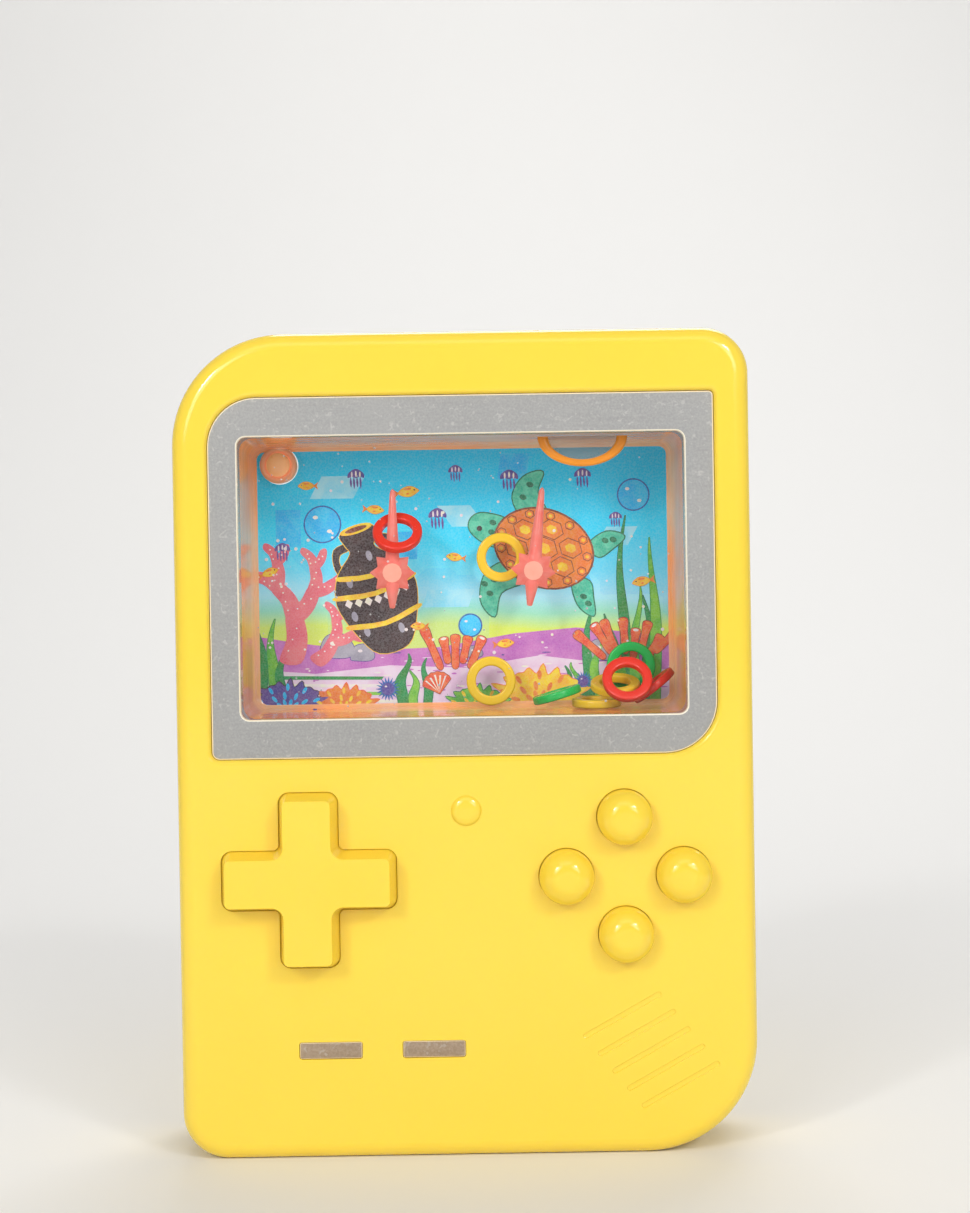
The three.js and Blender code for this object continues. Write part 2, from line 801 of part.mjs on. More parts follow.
/** The chamber floor's height at a level z. */
function floorAt(z) {
  return windowCentreY - chamberHalf(windowHeight, z);
}

function tankLens() {
  return slab(rimOutline, lensBackZ, lensFrontZ);
}

function tankTray() {
  const rimMiddleZ = trayFrontZ - trayRimThickness / 2;
  const outer = loft([
    { points: outlinePoints(chamberOutline, trayWall - taperAt(trayBackZ)), z: trayBackZ },
    { points: outlinePoints(chamberOutline, trayWall - taperAt(rimMiddleZ)), z: rimMiddleZ },
  ]);
  const rim = slab(rimOutline, trayFrontZ - trayRimThickness, trayFrontZ);
  const sockets = [-1, 1].map((side) =>
    bar(
      (side * pegSpacing) / 2,
      pegY,
      pegPostRadius + slideGap + pegSocketWall,
      chamberBackZ - trayWall / 2,
      chamberBackZ + pegSocketHeight,
    ),
  );
  const socketHoles = [-1, 1].map((side) =>
    bar(
      (side * pegSpacing) / 2,
      pegY,
      pegPostRadius + slideGap,
      chamberBackZ - trayWall + pegSocketFloor,
      chamberBackZ + pegSocketHeight + cutOverrun,
    ),
  );
  const spigots = [-1, 1].map((side) =>
    upright(
      side * controlOffset,
      inletZ,
      spigotRadius,
      floorAt(inletZ) - trayWall - spigotLength,
      floorAt(inletZ) - trayWall / 2,
    ),
  );
  const jets = [-1, 1].map((side) =>
    upright(
      side * controlOffset,
      inletZ,
      pumpBore,
      floorAt(inletZ) - trayWall - spigotLength - cutOverrun,
      floorAt(inletZ) + cutOverrun,
    ),
  );
  const chamber = loft([
    { points: outlinePoints(chamberOutline, -chamberTaper), z: chamberBackZ },
    { points: outlinePoints(chamberOutline), z: lensBackZ },
    { points: outlinePoints(chamberOutline), z: trayFrontZ + cutOverrun },
  ]);
  const neckHole = bar(
    fillerX,
    fillerY,
    neckRadius + seatGap,
    trayBackZ - cutOverrun,
    chamberBackZ + cutOverrun,
    roundSteps,
  );
  const shell = cut(join([outer, rim, ...spigots]), [chamber]);
  return cut(join([shell, ...sockets]), [neckHole, ...jets, ...socketHoles]);
}

function pictureCard() {
  const sheet = slab(chamberOutline, cardBackZ, cardFrontZ, {
    grow: trayWall - taperAt(trayBackZ) - cardInset,
    steps: edgeSteps,
  });
  const hole = neckRearRadius + slideGap;
  return cut(sheet, [
    bar(fillerX, fillerY, hole, cardBackZ - cutOverrun, cardFrontZ + cutOverrun, roundSteps),
  ]);
}

/** A tapered spear with a faceted star at its waist and a post to the back of the tank. */
function peg() {
  const spear = new THREE.LatheGeometry(
    [
      [0, -pegTailHeight],
      [pegTipRadius, -pegTailHeight + pegTipRadius / 2],
      [pegWaistRadius, -pegStarRadius / 2],
      [pegWaistRadius, pegStarRadius / 2],
      [pegTipRadius, pegTipHeight - 2 * pegTipRadius],
      [0, pegTipHeight],
    ].map(([radius, y]) => new THREE.Vector2(radius, y)),
    smallRoundSteps,
  );
  const ringOf = (radiusOf) =>
    Array.from({ length: 2 * pegStarPoints }, (_, k) => {
      const angle = (k * Math.PI) / pegStarPoints;
      const radius = radiusOf(k);
      return new THREE.Vector2(radius * Math.cos(angle), radius * Math.sin(angle));
    });
  const star = loft([
    { points: ringOf(() => pegHubRadius), z: -pegStarThickness / 2 },
    { points: ringOf((k) => (k % 2 ? pegStarNotchRadius : pegStarRadius)), z: 0 },
    { points: ringOf(() => pegHubRadius), z: pegStarThickness / 2 },
  ]);
  const postEnd = -pegStandoff - trayWall + pegSocketFloor + seatGap;
  return join([spear, star, bar(0, 0, pegPostRadius, postEnd, 0)]);
}

/** The soft ring that grips the edge of the filler hole. Its front lip is trimmed to the top wall. */
function fillerNeck() {
  const ring = turned(
    [
      [neckBoreRadius, neckRearZ],
      [neckRearRadius, neckRearZ],
      [neckRearRadius, trayBackZ - seatGap],
      [neckRadius, trayBackZ - seatGap],
      [neckRadius, chamberBackZ + seatGap],
      [neckFrontRadius, chamberBackZ + seatGap],
      [neckFrontRadius, neckFrontZ - neckLipRound],
      [neckFrontRadius - neckLipRound, neckFrontZ],
      [neckBoreRadius, neckFrontZ],
      [neckBoreRadius, neckRearZ],
    ],
    fillerX,
    fillerY,
  );
  const left = fillerX - neckFrontRadius;
  const right = fillerX + neckFrontRadius;
  const top = fillerY + neckFrontRadius;
  const trim = windowCentreY + chamberHalf(windowHeight, chamberBackZ) - seatGap;
  return cut(ring, [block(left, right, trim, top + cutOverrun, chamberBackZ, neckFrontZ + cutOverrun)]);
}

/** The plug that closes the filler neck, with a knob to pull it out by. */
function fillerPlug() {
  const flangeTop = neckRearZ - seatGap;
  const flangeBack = flangeTop - plugFlangeThickness;
  const shank = neckBoreRadius - seatGap;
  const nose = neckFrontZ + plugNoseHeight;
  return turned(
    [
      [0, flangeBack - plugKnobHeight],
      [plugKnobRadius, flangeBack - plugKnobHeight],
      [plugKnobRadius, flangeBack],
      [plugFlangeRadius, flangeBack],
      [plugFlangeRadius, flangeTop],
      [shank, flangeTop],
      [shank, nose - plugNoseRound],
      [shank - plugNoseRound / 3, nose - plugNoseRound / 3],
      [shank - plugNoseRound, nose],
      [0, nose],
    ],
    fillerX,
    fillerY,
    smallRoundSteps,
  );
}

// Pumps

/** A soft bellows with a closed head under the plunger and an open foot on the pump base. */
function bellows(x) {
  const head = -bellowsHeadDepth;
  const foot = rearWallZ + seatGap + pumpBaseThickness + seatGap;
  const lip = foot + bellowsLipThickness;
  const pitch = (head - bellowsWall - lip) / (2 * bellowsFolds);
  const outside = [];
  for (let k = 0; k <= 2 * bellowsFolds; k++) {
    const radius = k % 2 ? bellowsPeakRadius : bellowsValleyRadius;
    outside.push([radius, lip + k * pitch]);
  }
  const inside = outside.map(([radius, z]) => [radius - bellowsWall, z]).reverse();
  return turned(
    [
      [bellowsPeakRadius, foot],
      [bellowsPeakRadius, lip],
      ...outside,
      [bellowsValleyRadius, head],
      [0, head],
      [0, head - bellowsWall],
      ...inside,
      [bellowsValleyRadius - bellowsWall, foot],
      [bellowsPeakRadius, foot],
    ],
    x,
    controlY,
    smallRoundSteps,
  );
}

/** The rigid base of a pump, with a channel that leads out through its spigot. */
function pumpBase(x) {
  const low = rearWallZ + seatGap;
  const high = low + pumpBaseThickness;
  const spigotEnd = controlY + pumpBaseRadius + spigotLength;
  return cut(
    join([
      bar(x, controlY, pumpBaseRadius, low, high, roundSteps),
      upright(x, spigotZ, spigotRadius, controlY, spigotEnd),
    ]),
    [
      upright(x, spigotZ, pumpBore, controlY - pumpBore, spigotEnd + cutOverrun),
      bar(x, controlY, pumpBore, spigotZ, high + cutOverrun),
    ],
  );
}

/** A circle's points as a three.js path or shape. */
function circle(Kind, radius) {
  const path = new Kind();
  for (let k = 0; k < hoseSides; k++) {
    const angle = (2 * Math.PI * k) / hoseSides;
    const point = [radius * Math.cos(angle), radius * Math.sin(angle)];
    if (k) path.lineTo(...point);
    else path.moveTo(...point);
  }
  path.closePath();
  return path;
}

/** The soft hose that joins a pump's spigot to the tank's spigot, in an easy double bend. */
function hose(x) {
  const start = controlY + pumpBaseRadius + seatGap;
  const end = floorAt(inletZ + hoseRadius) - trayWall - seatGap;
  const path = new THREE.CurvePath();
  const bottom = new THREE.Vector3(x, start, spigotZ);
  const bendFrom = new THREE.Vector3(x, start + spigotLength, spigotZ);
  const bendTo = new THREE.Vector3(x, end - spigotLength, inletZ);
  const top = new THREE.Vector3(x, end, inletZ);
  path.add(new THREE.LineCurve3(bottom, bendFrom));
  const reach = (bendTo.y - bendFrom.y) / 2;
  path.add(
    new THREE.CubicBezierCurve3(
      bendFrom,
      new THREE.Vector3(x, bendFrom.y + reach, spigotZ),
      new THREE.Vector3(x, bendTo.y - reach, inletZ),
      bendTo,
    ),
  );
  path.add(new THREE.LineCurve3(bendTo, top));
  const section = circle(THREE.Shape, hoseRadius);
  section.holes.push(circle(THREE.Path, hoseBore));
  return new THREE.ExtrudeGeometry(section, { steps: hoseSteps, extrudePath: path });
}

// Rings

/** A ring with a softened six-sided section, lying in the xy plane about the origin. */
function ringGeometry() {
  const profile = [
    [ringInnerRadius, 0],
    [ringInnerRadius + ringEdge, -halfRing],
    [ringOuterRadius - ringEdge, -halfRing],
    [ringOuterRadius, 0],
    [ringOuterRadius - ringEdge, halfRing],
    [ringInnerRadius + ringEdge, halfRing],
    [ringInnerRadius, 0],
  ];
  return turned(profile, 0, 0, roundSteps);
}

/** Half of what a ring takes up along and across its slant. */
function ringReach(slant) {
  const c = Math.abs(Math.cos(slant));
  const s = Math.abs(Math.sin(slant));
  return {
    along: ringOuterRadius * c + halfRing * s,
    across: ringOuterRadius * s + halfRing * c,
  };
}

/** The two rings by the pegs: one over the left spear, one leaning on the right peg's post. */
function ringsByThePegs() {
  const overReach = ringReach(overPegTilt);
  const overX = ringInnerRadius - pegWaistRadius - ringGap - pegSpacing / 2;
  const lean = pegPostRadius + ringGap + ringOuterRadius;
  return [
    {
      name: "ring_red_on_peg",
      material: materials.ringRed,
      place: [overX, pegY + pegStarRadius + overReach.across - ringWidth / 2, pegZ + overPegForward],
      turn: [Math.PI / 2 + overPegTilt, 0, 0, "XYZ"],
    },
    {
      name: "ring_yellow_by_peg",
      material: materials.ringYellow,
      place: [
        pegSpacing / 2 + lean * Math.cos(byPegAngle),
        pegY + lean * Math.sin(byPegAngle),
        chamberBackZ + pegSocketHeight + ringGap + halfRing,
      ],
      turn: [0, 0, 0, "XYZ"],
    },
  ];
}

/** The rings on the tank's floor, from the right wall to the middle. */
function ringsOnTheFloor() {
  const quarter = Math.PI / 2;
  const backLaneZ = chamberBackZ + ringGap + halfRing;
  const lyingZ = backLaneZ + halfRing + ringGap + ringOuterRadius;
  const lyingBackZ = lyingZ - ringOuterRadius;
  const lyingFrontZ = lyingZ + ringOuterRadius;
  const lyingFloor = floorAt(lyingBackZ);
  const draft = Math.atan(chamberTaper / chamberDepth);

  const wallReach = ringReach(wallRingSlant);
  const wallX = chamberHalf(windowWidth, lyingBackZ) - ringGap - wallReach.along;

  const flatX = wallX - wallReach.along - flatRingGap - ringOuterRadius;
  const flatTop = ringGap + ringThickness;

  const leanReach = ringReach(leaningRingSlant);
  const leanUp = ringGap + leanReach.across;
  const leanX = flatX - ringOuterRadius - leanReach.along + leaningRingOverlap;

  const heapReach = ringReach(heapRingTilt);
  const heapUp = floorAt(lyingFrontZ) + flatTop + ringGap + heapReach.across;
  const heapX = flatX + heapRingAcross;

  const frontReach = ringReach(frontRingTilt);
  const frontUp = floorAt(lyingFrontZ) + frontRingRise + frontReach.along;
  const frontZ = lyingFrontZ + ringGap;

  const centreZ = backLaneZ + ringThickness + ringGap;
  const centreX = leanX - leanReach.along - centreRingGap - ringOuterRadius;
  return [
    {
      name: "ring_red_at_wall",
      material: materials.ringRed,
      place: [wallX, lyingFloor + ringGap + wallReach.across, lyingZ],
      turn: [quarter, 0, wallRingSlant, "ZYX"],
    },
    {
      name: "ring_yellow_flat",
      material: materials.ringYellow,
      place: [flatX, floorAt(lyingZ) + ringGap + halfRing / Math.cos(draft), lyingZ],
      turn: [quarter + draft, 0, 0, "XYZ"],
    },
    {
      name: "ring_green_leaning",
      material: materials.ringGreen,
      place: [leanX, lyingFloor + leanUp, lyingZ],
      turn: [quarter, 0, leaningRingSlant, "ZYX"],
    },
    {
      name: "ring_yellow_on_heap",
      material: materials.ringYellow,
      place: [heapX, heapUp, lyingZ],
      turn: [quarter + heapRingTilt, 0, 0, "XYZ"],
    },
    {
      name: "ring_red_front",
      material: materials.ringRed,
      place: [flatX + frontRingAcross, frontUp, frontZ],
      turn: [-frontRingTilt, 0, 0, "XYZ"],
    },
    {
      name: "ring_green_back",
      material: materials.ringGreen,
      place: [wallX - ringMiddleRadius, floorAt(backLaneZ) + ringOuterRadius + backRingRise, backLaneZ],
      turn: [0, 0, 0, "XYZ"],
    },
    {
      name: "ring_yellow_centre",
      material: materials.ringYellow,
      place: [centreX, floorAt(centreZ - halfRing) + ringGap + ringOuterRadius, centreZ],
      turn: [0, 0, 0, "XYZ"],
    },
  ];
}

// Assembly
const toy = new THREE.Group();
const shell = materials.yellowShell;
const pump = materials.whitePump;
toy.add(
  mesh("front_shell", frontShell(), shell),
  mesh("rear_shell", rearShell(), shell),
  mesh("screen_bezel", bezel(), materials.silverFilm),
  mesh("left_inlay", inlay(inlayLeftAcross), materials.silverFilm),
  mesh("right_inlay", inlay(inlayRightAcross), materials.silverFilm),
  mesh("cross_pad", crossPad(), materials.yellowButton),
  mesh("round_buttons", buttonCluster(), materials.yellowButton),
  mesh("tank_lens", tankLens(), materials.clearTank),
  mesh("tank_tray", tankTray(), materials.clearTank),
  mesh("picture_card", pictureCard(), materials.printedCard),
  mesh("filler_neck", fillerNeck(), materials.peachPlug),
  mesh("filler_plug", fillerPlug(), materials.peachPlug),
);
for (const [side, name] of [
  [-1, "left"],
  [1, "right"],
]) {
  const x = side * controlOffset;
  toy.add(
    mesh(`${name}_bellows`, bellows(x), materials.softPump),
    mesh(`${name}_pump_base`, pumpBase(x), pump),
    mesh(`${name}_hose`, hose(x), materials.softPump),
  );
  const spear = mesh(`${name}_peg`, peg(), materials.coralPeg);
  spear.position.set((side * pegSpacing) / 2, pegY, pegZ);
  spear.rotation.z = side > 0 ? rightPegLean : leftPegLean;
  toy.add(spear);
}
for (const [name, x, y] of screwPlaces) {
  toy.add(mesh(`screw_${name}`, screw(x, y), materials.screwSteel));
}
for (const { name, material, place, turn } of [...ringsByThePegs(), ...ringsOnTheFloor()]) {
  const ring = mesh(name, ringGeometry(), material);
  ring.position.set(...place);
  ring.rotation.set(...turn);
  toy.add(ring);
}

toy.rotation.x = Math.PI / 2;
toy.position.y = (backZ + buttonProud) / 2;
export default toy;
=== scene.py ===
"""A hand-held water ring toss game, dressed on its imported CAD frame.

The pieces are drawn as in the CAD source: face up, in millimetres, with x to the right, y up
the face and z out of the face towards the player, z being 0 on the front face. One matrix,
UPRIGHT, then stands them up in the row frame, in metres. Nothing is random without a seed.
"""

from __future__ import annotations

import json
import logging
import math
from collections.abc import Callable, Iterable, Sequence
from dataclasses import dataclass, field
from enum import Enum
from random import Random
from typing import Any

import bmesh
import bpy
from mathutils import Matrix, Vector

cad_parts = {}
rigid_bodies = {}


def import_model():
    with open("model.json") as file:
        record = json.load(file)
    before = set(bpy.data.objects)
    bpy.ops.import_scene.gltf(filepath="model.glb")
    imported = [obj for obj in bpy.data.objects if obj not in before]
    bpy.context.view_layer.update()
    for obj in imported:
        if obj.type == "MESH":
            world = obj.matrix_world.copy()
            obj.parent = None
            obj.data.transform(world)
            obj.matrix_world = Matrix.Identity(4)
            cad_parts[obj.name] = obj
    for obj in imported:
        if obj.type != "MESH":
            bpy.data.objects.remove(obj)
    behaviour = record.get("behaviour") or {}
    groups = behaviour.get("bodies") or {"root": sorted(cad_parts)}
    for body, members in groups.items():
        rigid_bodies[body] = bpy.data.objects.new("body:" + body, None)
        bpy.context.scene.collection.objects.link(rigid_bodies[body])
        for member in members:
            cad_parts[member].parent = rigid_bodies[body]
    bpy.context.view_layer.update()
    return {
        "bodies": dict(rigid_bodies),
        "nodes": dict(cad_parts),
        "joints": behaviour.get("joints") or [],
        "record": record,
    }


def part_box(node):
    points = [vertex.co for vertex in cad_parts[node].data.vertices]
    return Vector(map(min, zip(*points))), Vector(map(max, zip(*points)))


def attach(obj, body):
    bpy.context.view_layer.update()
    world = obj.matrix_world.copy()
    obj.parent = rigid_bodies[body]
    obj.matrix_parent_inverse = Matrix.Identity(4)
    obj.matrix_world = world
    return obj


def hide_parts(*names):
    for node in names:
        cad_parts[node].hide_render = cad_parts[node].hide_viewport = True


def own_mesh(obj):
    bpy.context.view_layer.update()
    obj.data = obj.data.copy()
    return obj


LOG = logging.getLogger("water_game")

# MM is a millimetre in metres. OVERRUN is how far a cutter runs past what it cuts. NEAR is how
# close points count as one place in a test or along a cut, and WELD how close they are joined in
# a finished shape. A face whose normal rises by more than LEVEL_FACE counts as level.
MM = 0.001
FACE_LEVEL = -10.6
WINDOW_MIDDLE = 88.5
WATER_IOR = 1.33
# Strength of the painted glow on the printed card: an emission that stands for light led in from the sides.
PAINTED_PRINT_GLOW = 0.18
QUARTER = math.pi / 2
OVERRUN = 1.0
NEAR = 1e-3
WELD = 1e-4
LEVEL_FACE = 0.9
LIFT = Matrix.Translation((0.0, FACE_LEVEL, 0.0))
UPRIGHT = Matrix.Scale(MM, 4) @ LIFT @ Matrix.Rotation(QUARTER, 4, "X")
Point = tuple[float, float]
Shape = bmesh.types.BMesh
Edge = bmesh.types.BMEdge


# Colour and nodes


def linear(hex_colour: str) -> tuple[float, float, float, float]:
    """Turns an sRGB colour, written as "#rrggbb", into linear light with an alpha of 1.

    Args:
        hex_colour: The colour.

    Returns:
        Its red, green, blue and alpha.
    """
    channels = [int(hex_colour[i : i + 2], 16) / 255 for i in (1, 3, 5)]
    light = [c / 12.92 if c <= 0.04045 else ((c + 0.055) / 1.055) ** 2.4 for c in channels]
    return (light[0], light[1], light[2], 1.0)


class Recipe:
    """A surface being made: its material, the object's own coordinates, and a way to add nodes."""

    def __init__(self, name: str) -> None:
        """Starts an empty node material of this name.

        Args:
            name: The material's name.
        """
        self.material = bpy.data.materials.new(name)
        self.material.use_nodes = True
        self.tree = self.material.node_tree
        self.tree.nodes.clear()
        self.place = self.add("TexCoord").outputs["Object"]

    def add(self, kind: str, *values: Any, **settings: Any) -> bpy.types.Node:
        """Adds a shader node, sets it up and links it.

        Args:
            kind: The node's type without its first word, such as "BsdfPrincipled".
            *values: What the inputs in use get, in order: a number, a colour as "#rrggbb", or
                what is linked, which is an output, or a node for its first output in use.
            **settings: The node's own settings, and more inputs, written like Base_Color.

        Returns:
            The new node.
        """
        made = self.tree.nodes.new(f"ShaderNode{kind}")
        named = {name.replace("_", " "): value for name, value in settings.items() if name[0].isupper()}
        for name, value in settings.items():
            if name[0].islower():
                setattr(made, name, value)
        pairs = [(made.inputs[name], value) for name, value in named.items()]
        pairs += zip([socket for socket in made.inputs if socket.enabled], values)
        for socket, value in pairs:
            if isinstance(value, bpy.types.Node):
                value = next(output for output in value.outputs if output.enabled)
            if isinstance(value, bpy.types.NodeSocket):
                self.tree.links.new(value, socket)
            else:
                socket.default_value = linear(value) if isinstance(value, str) else value
        return made

    def surface(self, shader: bpy.types.Node) -> bpy.types.Material:
        """Gives the material its surface and returns it."""
        self.add("OutputMaterial", shader)
        return self.material


def grains_per_metre(size_mm: float) -> float:
    """The scale of a noise whose grains are size_mm across, on coordinates in metres."""
    return 1.0 / (size_mm * MM)


# Finishes


@dataclass(frozen=True)
class MouldedPlastic:
    """Injection-moulded plastic: an even colour under a smooth skin that is never quite flat.

    The tone drifts a little over centimetres, where the melt flowed. The skin has a faint orange
    peel from the tool, drawn at peel_mm, and a gloss that varies over the same distance. scatter
    is how far it is from opaque. A painted glow, an emission in the plastic's own colour, stands
    for the light that reaches a thin piece from behind.
    """

    name: str
    colour: str
    flow_colour: str
    roughness: float
    ior: float = 1.53
    peel_mm: float = 1.1
    peel_height_mm: float = 0.006
    flow_mm: float = 22.0
    scatter: float = 0.0
    scatter_mm: float = 0.6
    painted_glow: float = 0.0

    def material(self) -> bpy.types.Material:
        """Builds the plastic's node material.

        Returns:
            The material.
        """
        recipe = Recipe(self.name)
        flow = recipe.add("TexNoise", recipe.place, grains_per_metre(self.flow_mm), 2.0)
        tone = recipe.add("Mix", flow, self.colour, self.flow_colour, data_type="RGBA")
        peel = recipe.add("TexNoise", recipe.place, grains_per_metre(self.peel_mm), 3.0)
        gloss = recipe.add("MapRange", peel, 0.3, 0.7, self.roughness * 0.88, self.roughness * 1.15)
        bump = recipe.add("Bump", Height=peel, Distance=self.peel_height_mm * MM, Strength=1.0)
        shader = recipe.add(
            "BsdfPrincipled", tone, Roughness=gloss, Normal=bump, IOR=self.ior,
            Subsurface_Weight=self.scatter, Subsurface_Scale=self.scatter_mm * MM,
            Subsurface_Radius=(1.0, 0.6, 0.3), Emission_Color=tone, Emission_Strength=self.painted_glow,
        )
        return recipe.surface(shader)


@dataclass(frozen=True)
class SilverFilm:
    """Silver-lacquered film on a plastic plate.

    The lacquer holds flakes about 0.3 mm across that sparkle unevenly, and was wiped on along
    the plate, which leaves short strokes. Handling left small light nicks here and there.
    """

    name: str
    colour: str
    flake_colour: str
    shade_colour: str
    roughness: float = 0.42
    metallic: float = 0.35
    flake_mm: float = 0.34
    stroke_mm: float = 0.5
    stroke_length_mm: float = 7.0
    stroke_share: float = 0.22
    cloud_mm: float = 14.0
    cloud_share: float = 0.3
    nick_colour: str = "#dcdad4"
    nick_mm: float = 0.9
    nick_share: float = 0.3

    def material(self) -> bpy.types.Material:
        """Builds the film's node material.

        Returns:
            The material.
        """
        recipe = Recipe(self.name)
        flakes = recipe.add("TexNoise", recipe.place, grains_per_metre(self.flake_mm), 2.0)
        stretch = (self.stroke_mm / self.stroke_length_mm, 1.0, 1.0)
        along = recipe.add("Mapping", recipe.place, Scale=stretch)
        strokes = recipe.add("TexNoise", along, grains_per_metre(self.stroke_mm), 3.0)
        clouds = recipe.add("TexNoise", recipe.place, grains_per_metre(self.cloud_mm), 2.0)
        nicks = recipe.add("TexNoise", recipe.place, grains_per_metre(self.nick_mm), 1.0, Distortion=1.2)
        tone: Any = self.colour
        for pattern, low, high, share, colour in (
            (flakes, 0.35, 0.7, 1.0, self.flake_colour),
            (strokes, 0.45, 0.75, self.stroke_share, self.shade_colour),
            (clouds, 0.35, 0.65, self.cloud_share, self.flake_colour),
            (nicks, 0.62, 0.74, self.nick_share, self.nick_colour),
        ):
            amount = recipe.add("MapRange", pattern, low, high, 0.0, share)
            tone = recipe.add("Mix", amount, tone, colour, data_type="RGBA")
        bump = recipe.add("Bump", Height=flakes, Distance=0.01 * MM, Strength=1.0)
        gloss = recipe.add("MapRange", strokes, 0.0, 1.0, self.roughness * 0.85, self.roughness * 1.2)
        shader = recipe.add("BsdfPrincipled", tone, self.metallic, gloss, Normal=bump)
        return recipe.surface(shader)


@dataclass(frozen=True)
class ClearStyrene:
    """Crystal polystyrene, a thin wall that shows what is behind it, with a sharp gloss.

    The orange of the walls is painted light: a lit tint in the housing's colour that stands for
    the colour and light that the wall gathers along its length, shown on a share of the surface.
    It is cloudy over a centimetre, and streaks run along the wall where the melt flowed in. Lamps
    and scattered light pass unhindered, as they do through water and clear plastic. shine is how
    much of the gloss is left, which is little where water wets the wall. A painted glow, an
    emission, stands for the light that a wall carries inwards from its lit rim and from the thin
    housing round it.
    """

    name: str
    tint: str
    painted_light_colours: tuple[str, str]
    painted_light_share: float
    shine: float = 1.0
    painted_glow: float = 0.0
    gloss: float = 0.06
    cloud_mm: float = 17.0
    streak_mm: float = 0.9

    def with_painted_light(self, recipe: Recipe, clear: bpy.types.Node) -> bpy.types.Node:
        """Mixes the wall's painted orange light and painted glow into its clear shader.

        Args:
            recipe: The surface being made.
            clear: The clear shader.

        Returns:
            The mixed shader.
        """
        clouds = recipe.add("TexNoise", recipe.place, grains_per_metre(self.cloud_mm), 2.0)
        along = recipe.add("Mapping", recipe.place, Scale=(0.08, 1.0, 0.08))
        streaks = recipe.add("TexNoise", along, grains_per_metre(self.streak_mm), 2.0)
        mixed = recipe.add("MapRange", clouds, 0.38, 0.62)
        warm = recipe.add("Mix", mixed, *self.painted_light_colours, data_type="RGBA")
        streaked = recipe.add("MapRange", streaks, 0.35, 0.7, self.painted_light_share * 0.93, min(1.0, self.painted_light_share * 1.06))
        body = recipe.add(
            "BsdfPrincipled", warm, Roughness=0.22, IOR=1.59, Emission_Color=warm,
            Emission_Strength=self.painted_glow,
        )
        return recipe.add("MixShader", streaked, clear, body)

    def material(self) -> bpy.types.Material:
        """Builds the clear wall's node material.

        Returns:
            The material.
        """
        recipe = Recipe(self.name)
        shown = recipe.add("BsdfTransparent", self.tint)
        if self.painted_light_share > 0:
            shown = self.with_painted_light(recipe, shown)
        shine = recipe.add("BsdfGlossy", "#ffffff", self.gloss)
        edge = recipe.add("Fresnel", WATER_IOR)
        mirrored = recipe.add("Math", edge, self.shine, operation="MULTIPLY")
        surface = recipe.add("MixShader", mirrored, shown, shine)
        path = recipe.add("LightPath").outputs
        unseen = recipe.add("Math", path["Is Shadow Ray"], path["Is Diffuse Ray"], operation="MAXIMUM")
        open_way = recipe.add("BsdfTransparent", "#ffffff")
        return recipe.surface(recipe.add("MixShader", unseen, surface, open_way))


@dataclass(frozen=True)
class TintedStyrene:
    """Coral-tinted crystal polystyrene, through which the print shows as a tinted ghost.

    Facets seen edge-on look deeper in colour, because sight runs further through the plastic.
    A painted glow, an emission in the plastic's colour, stands for the light that the plastic
    gathers from the bright card behind it.
    """

    name: str
    tint: str
    colour: str
    body: float
    painted_glow: float = 0.0
    gloss: float = 0.1
    flow_mm: float = 1.6

    def material(self) -> bpy.types.Material:
        """Builds the tinted plastic's node material.

        Returns:
            The material.
        """
        recipe = Recipe(self.name)
        flow = recipe.add("TexNoise", recipe.place, grains_per_metre(self.flow_mm), 2.0)
        tone = recipe.add("Mix", flow, self.colour, self.tint, data_type="RGBA")
        facing = recipe.add("LayerWeight", 0.35).outputs["Facing"]
        depth = recipe.add("MapRange", facing, 0.0, 1.0, self.body * 0.8, min(1.0, self.body * 1.5))
        clear = recipe.add("BsdfTransparent", self.tint)
        solid = recipe.add(
            "BsdfPrincipled", tone, Roughness=self.gloss, IOR=1.5, Emission_Color=tone,
            Emission_Strength=self.painted_glow,
        )
        return recipe.surface(recipe.add("MixShader", depth, clear, solid))


@dataclass(frozen=True)
class AirEdge:
    """The edge of air trapped in the water.

    Its colours are painted light. Air bends sight sideways, so its middle is painted in the
    colour of the housing beside the tank, as a painted refraction, and it pales with a painted
    reflection where it turns away.
    """

    name: str
    middle: str
    edge: str
    middle_share: float
    edge_share: float

    def material(self) -> bpy.types.Material:
        """Builds the air edge's node material.

        Returns:
            The material.
        """
        recipe = Recipe(self.name)
        facing = recipe.add("LayerWeight", 0.5).outputs["Facing"]
        turn = recipe.add("MapRange", facing, 0.35, 0.75)
        share = recipe.add("MapRange", turn, 0.0, 1.0, self.middle_share, self.edge_share)
        tone = recipe.add("Mix", turn, self.middle, self.edge, data_type="RGBA")
        clear = recipe.add("BsdfTransparent", "#ffffff")
        shown = recipe.add("BsdfPrincipled", tone, Roughness=0.1, IOR=WATER_IOR)
        return recipe.surface(recipe.add("MixShader", share, clear, shown))


def varnished(recipe: Recipe, colour: bpy.types.Node, dot_mm: float = 0.3) -> bpy.types.Material:
    """Finishes a printed colour with its print screen and varnish.

    The dot of the print screen is 0.15 mm in life and is drawn at dot_mm, so that it shows. The
    ink is thin and the card under it white, so the print also gives back some of the light that
    the clear tank and the thin housing lead in from the sides. A painted glow, an emission in the
    ink's colour, stands for that.

    Args:
        recipe: The surface being made.
        colour: The node that gives the ink's colour.
        dot_mm: How far apart the screen's dots are.

    Returns:
        The finished material.
    """
    dots = recipe.add("TexVoronoi", recipe.place, grains_per_metre(dot_mm))
    strength = recipe.add("MapRange", dots, 0.1, 0.8, 0.0, 0.1)
    screened = recipe.add("Mix", strength, colour, "#ffffff", data_type="RGBA")
    shader = recipe.add(
        "BsdfPrincipled", screened, Roughness=0.45, Specular_IOR_Level=0.2, Emission_Color=screened,
        Emission_Strength=PAINTED_PRINT_GLOW,
    )
    return recipe.surface(shader)


